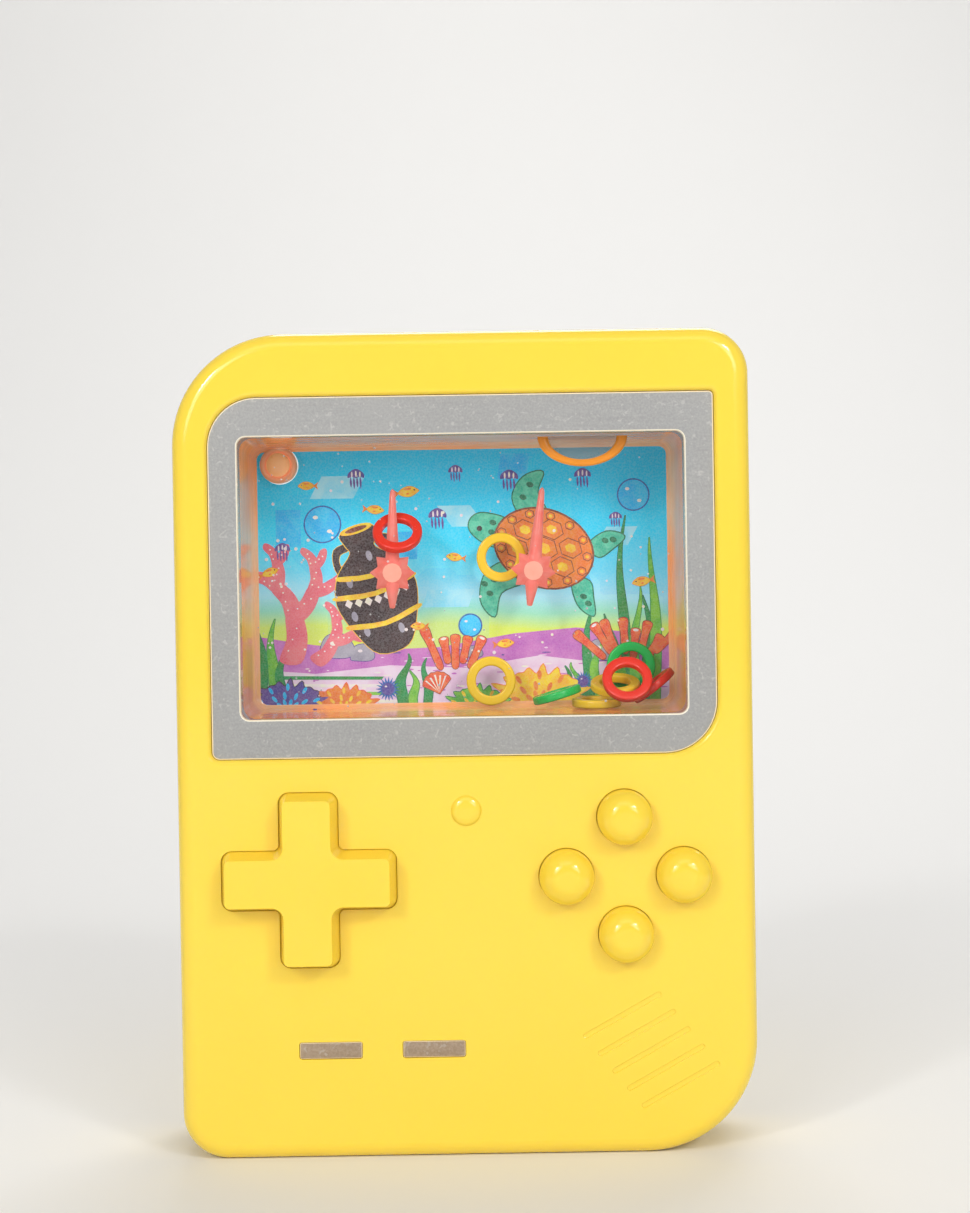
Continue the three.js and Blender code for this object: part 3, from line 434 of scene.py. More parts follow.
@dataclass(frozen=True)
class PrintedInk:
    """Offset ink on varnished card: two tones that mottle into each other, with a fine dot."""

    name: str
    colour: str
    second: str
    mottle_mm: float = 2.6

    def material(self) -> bpy.types.Material:
        """Builds the ink's node material.

        Returns:
            The material.
        """
        recipe = Recipe(self.name)
        mottle = recipe.add("TexNoise", recipe.place, grains_per_metre(self.mottle_mm), 2.0)
        share = recipe.add("MapRange", mottle, 0.38, 0.62)
        return varnished(recipe, recipe.add("Mix", share, self.colour, self.second, data_type="RGBA"))


@dataclass(frozen=True)
class PrintedWater:
    """The printed water behind everything else: blues that pale towards a sandy horizon.

    Bands of tone lie at the given heights, in millimetres from the window's middle, and a slow
    waviness keeps them from being ruled lines. Faint square patches of light lie over them.
    """

    name: str
    middle_mm: float
    bands: tuple[tuple[float, str], ...] = (
        (-14.0, "#ecee48"), (-8.5, "#dcee5c"), (-6.0, "#9ce4c4"), (-3.5, "#aae8fa"), (0.5, "#70e0fc"),
        (6.0, "#30dcfe"), (15.0, "#18d2fa"), (21.0, "#22ccf6"),
    )
    wave_mm: float = 16.0
    wave_height_mm: float = 5.0
    patch_mm: float = 11.0
    patch_colour: str = "#12b4e6"

    def material(self) -> bpy.types.Material:
        """Builds the printed water's node material.

        Returns:
            The material.
        """
        recipe = Recipe(self.name)
        wave = recipe.add("TexNoise", recipe.place, grains_per_metre(self.wave_mm), 1.0)
        height = recipe.add("SeparateXYZ", recipe.place).outputs["Z"]
        shift = recipe.add("Math", wave, self.wave_height_mm * MM, height, operation="MULTIPLY_ADD")
        base = self.middle_mm + self.wave_height_mm / 2
        tone: Any = self.bands[0][1]
        for (low, _), (high, colour) in zip(self.bands, self.bands[1:]):
            share = recipe.add("MapRange", shift, (base + low) * MM, (base + high) * MM)
            tone = recipe.add("Mix", share, tone, colour, data_type="RGBA")
        scale = grains_per_metre(self.patch_mm)
        patches = recipe.add("TexVoronoi", recipe.place, scale, distance="CHEBYCHEV").outputs["Color"]
        patchy = recipe.add("MapRange", patches, 0.55, 0.6, 0.0, 0.16)
        return varnished(recipe, recipe.add("Mix", patchy, tone, self.patch_colour, data_type="RGBA"))


@dataclass(frozen=True)
class PlatedSteel:
    """Zinc-plated steel, bright with a soft crystalline cloud."""

    name: str
    colour: str = "#c9c9cc"
    roughness: float = 0.28
    crystal_mm: float = 0.5

    def material(self) -> bpy.types.Material:
        """Builds the plated steel's node material.

        Returns:
            The material.
        """
        recipe = Recipe(self.name)
        crystals = recipe.add("TexNoise", recipe.place, grains_per_metre(self.crystal_mm), 3.0)
        gloss = recipe.add("MapRange", crystals, 0.3, 0.7, self.roughness * 0.7, self.roughness * 1.4)
        return recipe.surface(recipe.add("BsdfPrincipled", self.colour, 1.0, gloss))


@dataclass(frozen=True)
class StudioPaper:
    """The matt paper sweep of the studio, with no gloss to mirror the object."""

    name: str
    colour: str

    def material(self) -> bpy.types.Material:
        """Builds the paper's node material.

        Returns:
            The material.
        """
        recipe = Recipe(self.name)
        shader = recipe.add("BsdfPrincipled", self.colour, Roughness=0.9, Specular_IOR_Level=0.1)
        return recipe.surface(shader)


class Palette(Enum):
    """Named finishes, whose materials are built the first time they are asked for."""

    def material(self) -> bpy.types.Material:
        """This finish's material."""
        return bpy.data.materials.get(self.value.name) or self.value.material()


class Finish(Palette):
    """Every finish on the object."""

    # Glossy ABS, the usual toy shell: a warm even yellow with sharp, slightly wavy highlights.
    SHELL = MouldedPlastic("abs_yellow_gloss", "#fcdb4d", "#fbd845", 0.12, scatter=0.15)
    BUTTON = MouldedPlastic("abs_yellow_button", "#fcdb4a", "#fbd640", 0.13, scatter=0.15)
    # Silver lacquer on a die-cut plate: a dull grey that sparkles, and a pale line where it is cut, whose
    # near-white is partly the cut core and partly a painted highlight.
    FILM = SilverFilm("silver_lacquer_film", "#9c9c9b", "#abaaa8", "#8c8c8b")
    FILM_EDGE_AND_HIGHLIGHT = MouldedPlastic("film_cut_edge_and_highlight", "#fffaec", "#fdf0d2", 0.25)
    # The browner film of the two small plates, with the same pale cut edge, partly a painted highlight.
    INLAY = SilverFilm("silver_inlay_film", "#9e8973", "#b39f8b", "#8d765f", 0.34, 0.3)
    INLAY_EDGE_AND_HIGHLIGHT = MouldedPlastic("inlay_cut_edge_and_highlight", "#fbf3dc", "#f4e4c0", 0.3)
    # Crystal polystyrene: unseen where it is flat; along the walls, a painted orange light and a painted
    # glow stand for the light that they carry.
    LENS = ClearStyrene("styrene_lens", "#ffffff", ("#ffffff", "#ffffff"), 0.0, 0.8, gloss=0.03)
    TRAY_BACK = ClearStyrene("styrene_tray_back", "#ffffff", ("#ffffff", "#ffffff"), 0.0, 0.06)
    TRAY_WALL = ClearStyrene("styrene_tray_wall", "#fbf6ea", ("#efb482", "#ff9648"), 0.88, 0.4, 0.2)
    # The same plastic in coral: the print shows faintly through the spears, the hubs look paler, and both
    # carry a painted glow.
    PEG = TintedStyrene("styrene_coral", "#ffb4a8", "#ff7668", 0.72, 0.12)
    HUB = TintedStyrene("styrene_coral_hub", "#ffccb8", "#ffb69c", 0.85, 0.12)
    # Polyethylene: a waxy, softer gloss on the strong colours of the rings.
    RING_RED = MouldedPlastic("polyethylene_red", "#ec2e22", "#f03c28", 0.24, 1.51)
    RING_YELLOW = MouldedPlastic("polyethylene_yellow", "#fccb26", "#fdd538", 0.24, 1.51)
    RING_GREEN = MouldedPlastic("polyethylene_green", "#1cbe52", "#2acb60", 0.24, 1.51)
    # Soft vinyl, which is matt and lets a little light in, and satin polypropylene.
    SOFT_PUMP = MouldedPlastic("soft_vinyl_ivory", "#f2ecd6", "#ece4c8", 0.5, scatter=0.2)
    PUMP_BASE = MouldedPlastic("polypropylene_white", "#f1f1ee", "#e9e9e4", 0.4)
    # Peach vinyl with a painted glow: an emission that stands for the tank's light lighting it from within.
    NECK = MouldedPlastic("soft_vinyl_peach", "#f8b48c", "#f4a274", 0.32, scatter=0.4, painted_glow=0.12)
    PLUG = MouldedPlastic("soft_vinyl_plug", "#fcc080", "#f8a878", 0.3, scatter=0.4, painted_glow=0.25)
    # Zinc plating: bright, with a gloss that changes from crystal to crystal.
    STEEL = PlatedSteel("zinc_steel")
    # Air in water, seen by its edges alone: painted refraction of the housing's colour, and painted
    # reflections, in white, on the skin and the fine bubbles.
    AIR_RIM = AirEdge("trapped_air_rim", "#ff9f2e", "#ffe3b4", 0.86, 0.8)
    AIR_SKIN = AirEdge("trapped_air_skin", "#c4d2d4", "#ffffff", 0.16, 0.3)
    TINY_AIR = AirEdge("tiny_bubbles", "#ffffff", "#ffffff", 0.35, 0.9)
    # The printed ground of the card, and the studio's matt paper.
    WATER = PrintedWater("print_water", WINDOW_MIDDLE)
    PAPER = StudioPaper("studio_paper", "#f1f0ee")


class Ink(Palette):
    """The inks of the printed card, each with the tone that it mottles into."""

    DUNE = PrintedInk("ink_dune", "#c065bc", "#d07cc4", 3.0)
    SHORE = PrintedInk("ink_shore", "#e7c1de", "#f0d8e8", 3.0)
    FOAM = PrintedInk("ink_foam", "#86dcf4", "#a8e4f4")
    LEAF = PrintedInk("ink_leaf", "#5cb53c", "#8ccb3f", 2.0)
    DEEP_LEAF = PrintedInk("ink_deep_leaf", "#2a9a55", "#3a8c3c", 2.0)
    RED_CORAL = PrintedInk("ink_red_coral", "#e8502f", "#f0783f", 1.4)
    PINK_CORAL = PrintedInk("ink_pink_coral", "#ee7f86", "#e9697a", 3.0)
    ORANGE = PrintedInk("ink_orange", "#ef8a2e", "#e9762a", 2.0)
    BROWN = PrintedInk("ink_brown", "#7c3a22", "#93502a", 1.2)
    YELLOW = PrintedInk("ink_yellow", "#fcd62a", "#f7b828", 1.6)
    VIOLET = PrintedInk("ink_violet", "#5a4a9c", "#6f4f98", 1.5)
    NIGHT = PrintedInk("ink_night", "#3b2a2c", "#4a3334", 1.5)
    CREAM = PrintedInk("ink_cream", "#f6ecd8", "#efe0e4", 1.5)
    TEAL = PrintedInk("ink_teal", "#3cba98", "#62ceac", 1.2)
    NAVY = PrintedInk("ink_navy", "#2a6ab4", "#2f5fa8", 1.5)
    SKY = PrintedInk("ink_sky", "#22b8f4", "#3acbfa", 2.5)
    PINE = PrintedInk("ink_pine", "#1d7050", "#26805a", 1.5)
    STONE = PrintedInk("ink_stone", "#9a94a4", "#b0aab6", 1.8)


# Mesh tools


def laid_out(name: str, shape: Shape) -> bpy.types.Object:
    """Turns a shape into an object of the scene and frees it.

    Args:
        name: The object's name.
        shape: The shape.

    Returns:
        The object.
    """
    data = bpy.data.meshes.new(name)
    shape.to_mesh(data)
    shape.free()
    made = bpy.data.objects.new(name, data)
    bpy.context.scene.collection.objects.link(made)
    return made


def merged(shapes: Iterable[Shape]) -> Shape:
    """Puts several shapes into one mesh, side by side, and frees them.

    Args:
        shapes: The shapes.

    Returns:
        The one mesh.
    """
    whole = bmesh.new()
    for shape in shapes:
        data = bpy.data.meshes.new("part")
        shape.to_mesh(data)
        shape.free()
        whole.from_mesh(data)
        bpy.data.meshes.remove(data)
    return whole


def combined(blank: Shape, tool: Shape, operation: str = "DIFFERENCE") -> Shape:
    """Cuts a tool shape out of a blank, or welds it on.

    Args:
        blank: The shape to work on, which is freed.
        tool: The shape to cut or weld with, which is freed.
        operation: "DIFFERENCE" or "UNION".

    Returns:
        The worked shape.
    """
    target, cutter = laid_out("blank", blank), laid_out("tool", tool)
    modifier = target.modifiers.new("work", "BOOLEAN")
    modifier.operation = operation
    modifier.solver = "EXACT"
    modifier.object = cutter
    bpy.context.view_layer.update()
    worked = bmesh.new()
    worked.from_object(target, bpy.context.evaluated_depsgraph_get())
    for made in (target, cutter):
        data = made.data
        bpy.data.objects.remove(made)
        bpy.data.meshes.remove(data)
    bmesh.ops.remove_doubles(worked, verts=worked.verts, dist=WELD)
    bmesh.ops.dissolve_degenerate(worked, dist=WELD, edges=worked.edges)
    return worked


def round_edges(shape: Shape, radius: float, segments: int, chosen: Callable[[Edge], bool]) -> Shape:
    """Rounds the edges that a test picks.

    Args:
        shape: The shape, which is changed.
        radius: The round's radius in millimetres.
        segments: How many steps the round has.
        chosen: Says whether an edge is rounded.

    Returns:
        The same shape.
    """
    bmesh.ops.bevel(
        shape, geom=[edge for edge in shape.edges if chosen(edge)], offset=radius, segments=segments,
        offset_type="OFFSET", profile=0.5, affect="EDGES", clamp_overlap=True, material=-1,
    )
    return shape


def at_level(level: float) -> Callable[[Edge], bool]:
    """A test for the edges that lie at one height."""
    return lambda edge: all(abs(vert.co.z - level) < NEAR for vert in edge.verts)


def sharper_than(degrees: float) -> Callable[[Edge], bool]:
    """A test for the edges whose two faces meet at more than an angle."""
    limit = math.radians(degrees)
    return lambda edge: len(edge.link_faces) == 2 and edge.calc_face_angle(0.0) > limit


def placed(shape: Shape, place: Matrix) -> Shape:
    """Moves a shape by a matrix."""
    bmesh.ops.transform(shape, matrix=place, verts=shape.verts)
    return shape


def shifted(shape: Shape, x: float, y: float = 0.0, z: float = 0.0) -> Shape:
    """Moves a shape by lengths."""
    bmesh.ops.translate(shape, vec=(x, y, z), verts=shape.verts)
    return shape


def raised(shape: Shape, height: float) -> Shape:
    """Closes a flat shape into a slab of this height.

    Args:
        shape: The flat shape, which is changed.
        height: How far its copy stands above it.

    Returns:
        The same shape.
    """
    grown = bmesh.ops.extrude_face_region(shape, geom=shape.faces[:])["geom"]
    verts = [item for item in grown if isinstance(item, bmesh.types.BMVert)]
    bmesh.ops.translate(shape, vec=(0.0, 0.0, height), verts=verts)
    bmesh.ops.recalc_face_normals(shape, faces=shape.faces)
    return shape


def halved(shape: Shape, y: float) -> list[Edge]:
    """Cuts off what lies above a height up the face.

    Args:
        shape: The shape, which is changed.
        y: The height of the cut.

    Returns:
        The edges along the cut.
    """
    cut = bmesh.ops.bisect_plane(
        shape, geom=[*shape.verts, *shape.edges, *shape.faces], plane_co=(0.0, y, 0.0),
        plane_no=(0.0, 1.0, 0.0), clear_outer=True,
    )["geom_cut"]
    return [item for item in cut if isinstance(item, Edge)]


def spun(shape: Shape, steps: int) -> Shape:
    """Spins a section all the way round the upright axis.

    Args:
        shape: The section, which is changed.
        steps: How many sides the spun shape has.

    Returns:
        The same shape.
    """
    bmesh.ops.spin(
        shape, geom=[*shape.verts, *shape.edges], cent=(0.0, 0.0, 0.0), axis=(0.0, 0.0, 1.0),
        angle=math.tau, steps=steps, use_merge=True,
    )
    bmesh.ops.remove_doubles(shape, verts=shape.verts, dist=WELD)
    bmesh.ops.recalc_face_normals(shape, faces=shape.faces)
    return shape


def turned(profile: Sequence[Point], steps: int = 64, x: float = 0.0, y: float = 0.0) -> Shape:
    """Turns a profile about an upright axis, as on a lathe.

    Args:
        profile: Pairs of radius and height. A closed profile repeats its first pair.
        steps: How many sides the turned shape has.
        x: Where the axis is across the face.
        y: Where the axis is up the face.

    Returns:
        The turned shape.
    """
    shape = bmesh.new()
    verts = [shape.verts.new((radius, 0.0, height)) for radius, height in profile]
    for pair in zip(verts, verts[1:]):
        shape.edges.new(pair)
    return shifted(spun(shape, steps), x, y)


def tube(
    outer: float, inner: float, low: float, high: float, x: float = 0.0, y: float = 0.0, steps: int = 40
) -> Shape:
    """An open-ended round tube, upright on the face."""
    return turned([(inner, low), (outer, low), (outer, high), (inner, high), (inner, low)], steps, x, y)


def rod(radius: float, low: float, high: float, x: float = 0.0, y: float = 0.0, steps: int = 40) -> Shape:
    """A solid round rod, upright on the face.

    Args:
        radius: Its radius.
        low: Its lower level.
        high: Its upper level.
        x: Where it stands across the face.
        y: Where it stands up the face.
        steps: How many sides it has.

    Returns:
        The rod.
    """
    shape = bmesh.new()
    bmesh.ops.create_cone(
        shape, cap_ends=True, segments=steps, radius1=radius, radius2=radius, depth=high - low,
        matrix=Matrix.Translation((x, y, (low + high) / 2)),
    )
    return shape


def box(left: float, right: float, bottom: float, top: float, low: float, high: float) -> Shape:
    """A plain rectangular block between two corners.

    Args:
        left: Its left side.
        right: Its right side.
        bottom: Its end down the face.
        top: Its end up the face.
        low: Its lower level.
        high: Its upper level.

    Returns:
        The block.
    """
    shape = bmesh.new()
    size = Vector((right - left, top - bottom, high - low))
    middle = Vector((left + right, bottom + top, low + high)) / 2
    place = Matrix.Translation(middle) @ Matrix.Diagonal(size).to_4x4()
    bmesh.ops.create_cube(shape, size=1.0, matrix=place)
    return shape


def laid_along_y(shape: Shape, x: float = 0.0, z: float = 0.0) -> Shape:
    """Lays an upright shape down so that its axis runs up the face, at x and z."""
    return placed(shape, Matrix.Translation((x, 0.0, z)) @ Matrix.Rotation(-QUARTER, 4, "X"))


@dataclass(frozen=True)
class Outline:
    """A rectangle whose four corners have radii of their own, in millimetres.

    The radii start at the upper left corner and go round with the clock.
    """

    width: float
    height: float
    centre: float
    radii: tuple[float, float, float, float]

    def grown(self, by: float) -> Outline:
        """The outline with every side moved out, and every corner to match."""
        radii = tuple(max(radius + by, 0.05) for radius in self.radii)
        return Outline(self.width + 2 * by, self.height + 2 * by, self.centre, radii)

    def block(self, low: float, high: float, segments: int = 10) -> Shape:
        """A slab of this outline.

        Args:
            low: The slab's lower level.
            high: The slab's upper level.
            segments: How many steps each corner has.

        Returns:
            The slab.
        """
        across, up = self.width / 2, self.height / 2
        shape = box(-across, across, self.centre - up, self.centre + up, low, high)
        for (side, rise), radius in zip(((-1, 1), (1, 1), (1, -1), (-1, -1)), self.radii):
            corner = Vector((side * across, self.centre + rise * up))

            def at_corner(edge: Edge) -> bool:
                """True for the upright edge at this corner."""
                return all((vert.co.xy - corner).length < NEAR for vert in edge.verts)

            round_edges(shape, radius, segments if radius > 1 else 4, at_corner)
        return shape


def tapered(shape: Shape, outline: Outline, level: float, inward: float) -> Shape:
    """Draws in the points of a slab at one level, as a mould's draft does.

    Args:
        shape: The slab, which is changed.
        outline: The slab's outline.
        level: The level of the points.
        inward: How far each side moves in.

    Returns:
        The same shape.
    """
    across, up = 1 - inward / (outline.width / 2), 1 - inward / (outline.height / 2)
    for vert in shape.verts:
        if abs(vert.co.z - level) < NEAR:
            vert.co.x *= across
            vert.co.y = outline.centre + (vert.co.y - outline.centre) * up
    return shape


@dataclass(frozen=True)
class Dress:
    """What a piece wears and where it belongs.

    Args:
        body: The CAD body that it rides on.
        slot: The record's material slot. It is not used.
        finishes: The finishes of its faces, by material index.
        replaces: The CAD nodes that it stands for.
        crease: The angle in degrees above which an edge stays sharp.
        even: True to keep the flats of a rounded piece flat under smooth shading.
    """

    body: str
    slot: str
    finishes: Sequence[Palette]
    replaces: tuple[str, ...] = ()
    crease: float = 38.0
    even: bool = False


def add_piece(name: str, shape: Shape, dress: Dress, place: Matrix = UPRIGHT) -> bpy.types.Object:
    """Turns a shape into a piece of the object.

    Args:
        name: The piece's name.
        shape: The shape, which is freed.
        dress: The piece's finishes, body and slot.
        place: What stands the shape up in the row frame.

    Returns:
        The piece's object, at the origin.
    """
    piece = laid_out(name, placed(shape, place))
    piece.data.shade_smooth()
    piece.data.set_sharp_from_angle(angle=math.radians(dress.crease))
    for finish in dress.finishes:
        piece.data.materials.append(finish.material())
    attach(piece, dress.body)
    if dress.replaces:
        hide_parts(*dress.replaces)
    if dress.even:
        piece.modifiers.new("even_normals", "WEIGHTED_NORMAL").keep_sharp = True
    LOG.info("%s: %d faces on %s", name, len(piece.data.polygons), dress.body)
    return piece


# The housing and its plates


@dataclass(frozen=True)
class Levels:
    """Heights over the front face that several pieces share, in millimetres."""

    bezel_face: float = -0.7
    bezel_back: float = -1.9
    ledge_front: float = -2.2
    ledge_back: float = -3.8
    lens_back: float = -5.6
    tray_front: float = -5.9
    parting: float = -13.0
    jets: float = -17.0
    chamber_back: float = -18.8
    tray_back: float = -20.1
    card_front: float = -20.4
    card_back: float = -20.8
    rear_wall: float = -24.2
    back: float = -26.0


LEVELS = Levels()
CONTROL_ACROSS = 24.0
CONTROL_UP = 42.6
BODY = Outline(88.0, 125.7, 62.85, (17.0, 7.0, 17.0, 7.0))
BEZEL = Outline(77.0, 55.0, WINDOW_MIDDLE, (7.5, 0.7, 8.0, 1.2))
WINDOW = Outline(68.0, 43.0, WINDOW_MIDDLE, (1.3, 1.3, 1.3, 1.3))
CHAMBER = Outline(68.4, 43.4, WINDOW_MIDDLE, (2.0, 2.0, 2.0, 2.0))
SCREWS: dict[str, Point] = {
    "top_left": (-31.0, 118.7), "top_right": (31.0, 118.7), "bottom_left": (-33.0, 9.5),
    "bottom_right": (33.0, 9.5), "middle": (0.0, 54.8),
}
PAD_SPAN = 26.6
PAD_ARM = 9.0
PAD_END_ROUND = 1.6
PAD_INNER_ROUND = 0.9
BUTTON_PITCH = 8.9
BUTTON_RADIUS = 4.2
FLANGE_RADIUS = 14.5
FILLER: Point = (-29.2, 106.6)
PEG_UP = 89.1
PEG_ACROSS = 11.05


def button_centres() -> list[Point]:
    """Where the four round buttons stand on the face."""
    ways = [(math.cos(quarter * QUARTER), math.sin(quarter * QUARTER)) for quarter in range(4)]
    return [(CONTROL_ACROSS + BUTTON_PITCH * across, CONTROL_UP + BUTTON_PITCH * up) for across, up in ways]


def cross_blank(grow: float, low: float, high: float) -> Shape:
    """A cross with rounded corners, about the cross pad's centre.

    Args:
        grow: How far every side moves out.
        low: The cross's lower level.
        high: The cross's upper level.

    Returns:
        The cross.
    """
    shape = bmesh.new()
    bmesh.ops.create_grid(shape, x_segments=3, y_segments=3, size=1.0)
    lines = sorted({round(vert.co.x, 4) for vert in shape.verts})
    arm, span = PAD_ARM / 2 + grow, PAD_SPAN / 2 + grow
    reach = (-span, -arm, arm, span)
    for vert in shape.verts:
        x, y = (reach[lines.index(round(side, 4))] for side in vert.co.xy)
        vert.co = (x, y, low)
    corners = [face for face in shape.faces if min(map(abs, face.calc_center_median().xy)) > arm]
    bmesh.ops.delete(shape, geom=corners, context="FACES")
    raised(shape, high - low)
    for outer, radius, steps in ((True, PAD_END_ROUND + grow, 6), (False, PAD_INNER_ROUND - grow, 5)):

        def at_corner(edge: Edge) -> bool:
            """True for an upright edge at the arms' ends, or else at the inner corners."""
            one, other = (vert.co.xy for vert in edge.verts)
            return (one - other).length < NEAR and (max(map(abs, one)) > PAD_ARM) == outer

        round_edges(shape, radius, steps, at_corner)
    return shifted(shape, -CONTROL_ACROSS, CONTROL_UP)


@dataclass
class Housing:
    """The yellow two-part housing, with its bezel, inlays and screws."""

    wall: float = 1.8
    edge_round: float = 2.6
    seat_gap: float = 0.3
    pocket_gap: float = 0.06
    plate_gap: float = 0.05
    slide_gap: float = 0.06
    ledge_reach: float = 1.0
    window_reach: float = 0.5
    plate_round: float = 0.3
    recess_margin: float = 1.5
    recess_round: float = 0.9
    hole_round: float = 0.1
    slot_round: float = 0.18
    control_foot: float = 27.6
    slot_head: float = 27.0
    guide_wall: float = 1.0
    guide_back: float = -6.2
    boss_radius: float = 2.6
    bore_radius: float = 1.4
    lip_outer: float = -1.05
    lip_reach: float = 1.2
    lip_root: float = 1.8
    tank_rim: float = 2.8
    rib_wall: float = 1.2
    rib_half: Point = (9.0, 15.0)
    rib_levels: Point = (-7.8, -3.0)
    rear_boss_radius: float = 3.6
    rear_lip: Point = (-0.75, -1.5)
    parting_gap: float = 0.3
    well_radius: float = 2.7
    well_floor: float = -19.2
    bore_overlap: float = 0.2
    plug_hole: float = 3.4
    back_round: float = 0.3
    rim_angle: float = 50.0
    root: float = 0.5
    card_rib_half: Point = (22.0, 0.7)
    card_rib_up: float = 12.0
    card_gap: float = 0.3
    seat_radii: Point = (11.0, 9.8)
    seat_height: float = 2.4
    door_half: float = 3.2
    door_reach: float = 20.0
    door_level: float = -20.0
    inlay_across: tuple[float, float] = (-21.1, -5.4)
    inlay: Outline = Outline(9.5, 2.5, 16.585, (0.35, 0.35, 0.35, 0.35))
    inlay_levels: Point = (-0.7, -0.2)
    inlay_round: float = 0.2
    film_slope: float = 0.96
    pocket_floor: float = -1.0
    groove_size: Point = (13.5, 0.8)
    groove_depth: float = 0.2
    groove_step: Point = (2.18, -2.68)
    groove_middle: Point = (27.6, 15.92)
    groove_angle: float = 29.0
    nub: Point = (0.0, 52.8)
    nub_profile: tuple[Point, ...] = (
        (0.0, -0.9), (2.3, -0.9), (2.3, 0.0), (2.2, 0.3), (1.9, 0.56), (1.2, 0.68), (0.0, 0.7),
    )
    screw_seat: float = -19.5
    screw_head: tuple[Point, ...] = ((0.0, -1.5), (1.5, -1.44), (2.05, -1.15), (2.4, -0.55), (2.4, 0.0))
    screw_tip: tuple[Point, ...] = ((1.0, 9.6), (0.0, 11.0))
    shank_radius: float = 1.1
    thread_radius: float = 0.86
    thread_turns: int = 9
    thread_start: float = 0.4
    cross_slot: Point = (1.5, 0.35)
    cross_depth: float = 0.8

    def half(self, face: float, low: float, high: float, inner: tuple[float, float, float]) -> Shape:
        """One hollow half of the housing.

        Args:
            face: The level of its outer face.
            low: Its lower level.
            high: Its upper level.
            inner: The lower and upper level of its hollow, and the level of the hollow's floor.

        Returns:
            The half, open towards the parting.
        """
        blank = round_edges(BODY.block(low, high, 22), self.edge_round, 8, at_level(face))
        bottom, top, floor = inner
        hollow = BODY.grown(-self.wall).block(bottom, top, 16)
        round_edges(hollow, self.edge_round - self.wall / 2, 5, at_level(floor))
        return combined(blank, hollow)

    def grooves(self) -> list[Shape]:
        """The cutters of the five slanted grooves of the sound grille.

        Returns:
            The shapes.
        """
        length, width = self.groove_size
        made = []
        for k in range(-2, 3):
            groove = Outline(length, width, 0.0, (width / 2 - 0.01,) * 4)
            shape = groove.block(-self.groove_depth, OVERRUN, 6)
            round_edges(shape, self.groove_depth * 0.9, 4, at_level(-self.groove_depth))
            x, y = (middle + k * step for middle, step in zip(self.groove_middle, self.groove_step))
            place = Matrix.Translation((x, y, 0.0))
            place @= Matrix.Rotation(math.radians(self.groove_angle), 4, "Z")
            made.append(placed(shape, place))
        return made

    def front_openings(self) -> Shape:
        """Everything that is cut through or into the front face, as one cutter.

        Returns:
            The shape.
        """
        low = -self.wall - OVERRUN
        hole = BUTTON_RADIUS + self.slide_gap
        pocket = self.inlay.grown(self.pocket_gap)
        return merged(
            [
                BEZEL.grown(self.plate_gap).block(LEVELS.ledge_front, OVERRUN, 12),
                cross_blank(self.slide_gap, low, OVERRUN),
                *(rod(hole, low, OVERRUN, *spot, 56) for spot in button_centres()),
                *self.grooves(),
                *(shifted(pocket.block(self.pocket_floor, OVERRUN, 4), x) for x in self.inlay_across),
            ]
        )

    def front(self) -> None:
        """The front shell, with the ledge that the bezel lies on and its inner ribs."""
        parting, rooted = LEVELS.parting, -self.wall / 2
        shell = self.half(0.0, parting, 0.0, (parting - OVERRUN, -self.wall, -self.wall))
        ledge = BEZEL.grown(self.ledge_reach).block(LEVELS.ledge_back, rooted, 12)
        shell = combined(shell, ledge, "UNION")
        shell = combined(shell, turned(self.nub_profile, 40, *self.nub), "UNION")
        shell = combined(shell, self.front_openings())
        window = WINDOW.grown(self.window_reach).block(LEVELS.ledge_back - OVERRUN, OVERRUN, 5)
        shell = combined(shell, window)
        head = BEZEL.centre - BEZEL.height / 2 - self.recess_margin
        for low, high, radius, steps in (
            (head, BODY.height, self.recess_round, 5), (self.control_foot, head, self.hole_round, 2),
            (0.0, self.slot_head, self.slot_round, 2),
        ):

            def on_face(edge: Edge) -> bool:
                """True for the rim of an opening in this zone of the front face."""
                inside = low < edge.verts[0].co.y < high
                return inside and at_level(0.0)(edge) and sharper_than(self.rim_angle)(edge)

            round_edges(shell, radius, steps, on_face)
        guide = FLANGE_RADIUS + self.slide_gap
        inside = [
            tube(guide + self.guide_wall, guide, self.guide_back, rooted, x, CONTROL_UP, 56)
            for x in (-CONTROL_ACROSS, CONTROL_ACROSS)
        ]
        boss, bore = self.boss_radius, self.bore_radius
        inside += [tube(boss, bore, parting, rooted, *spot, 24) for spot in SCREWS.values()]
        back, front = parting - self.lip_reach, parting + self.lip_root
        lip = combined(
            BODY.grown(self.lip_outer).block(back, front, 16),
            BODY.grown(-self.wall).block(back - OVERRUN, front + OVERRUN, 16),
        )
        rim = CHAMBER.grown(self.tank_rim)
        across, up = rim.width / 2 + self.seat_gap, rim.height / 2 + self.seat_gap
        half_up, half_across = self.rib_half
        for side in (-1, 1):
            x0, x1 = sorted((side * across, side * (across + self.rib_wall)))
            y0, y1 = sorted((side * up, side * (up + self.rib_wall)))
            inside.append(box(x0, x1, rim.centre - half_up, rim.centre + half_up, *self.rib_levels))
            inside.append(
                box(-half_across, half_across, rim.centre + y0, rim.centre + y1, *self.rib_levels)
            )
        dress = Dress("housing", "yellow_shell", (Finish.SHELL,), ("front_shell",), even=True)
        add_piece("front_housing", merged([shell, lip, *inside]), dress)

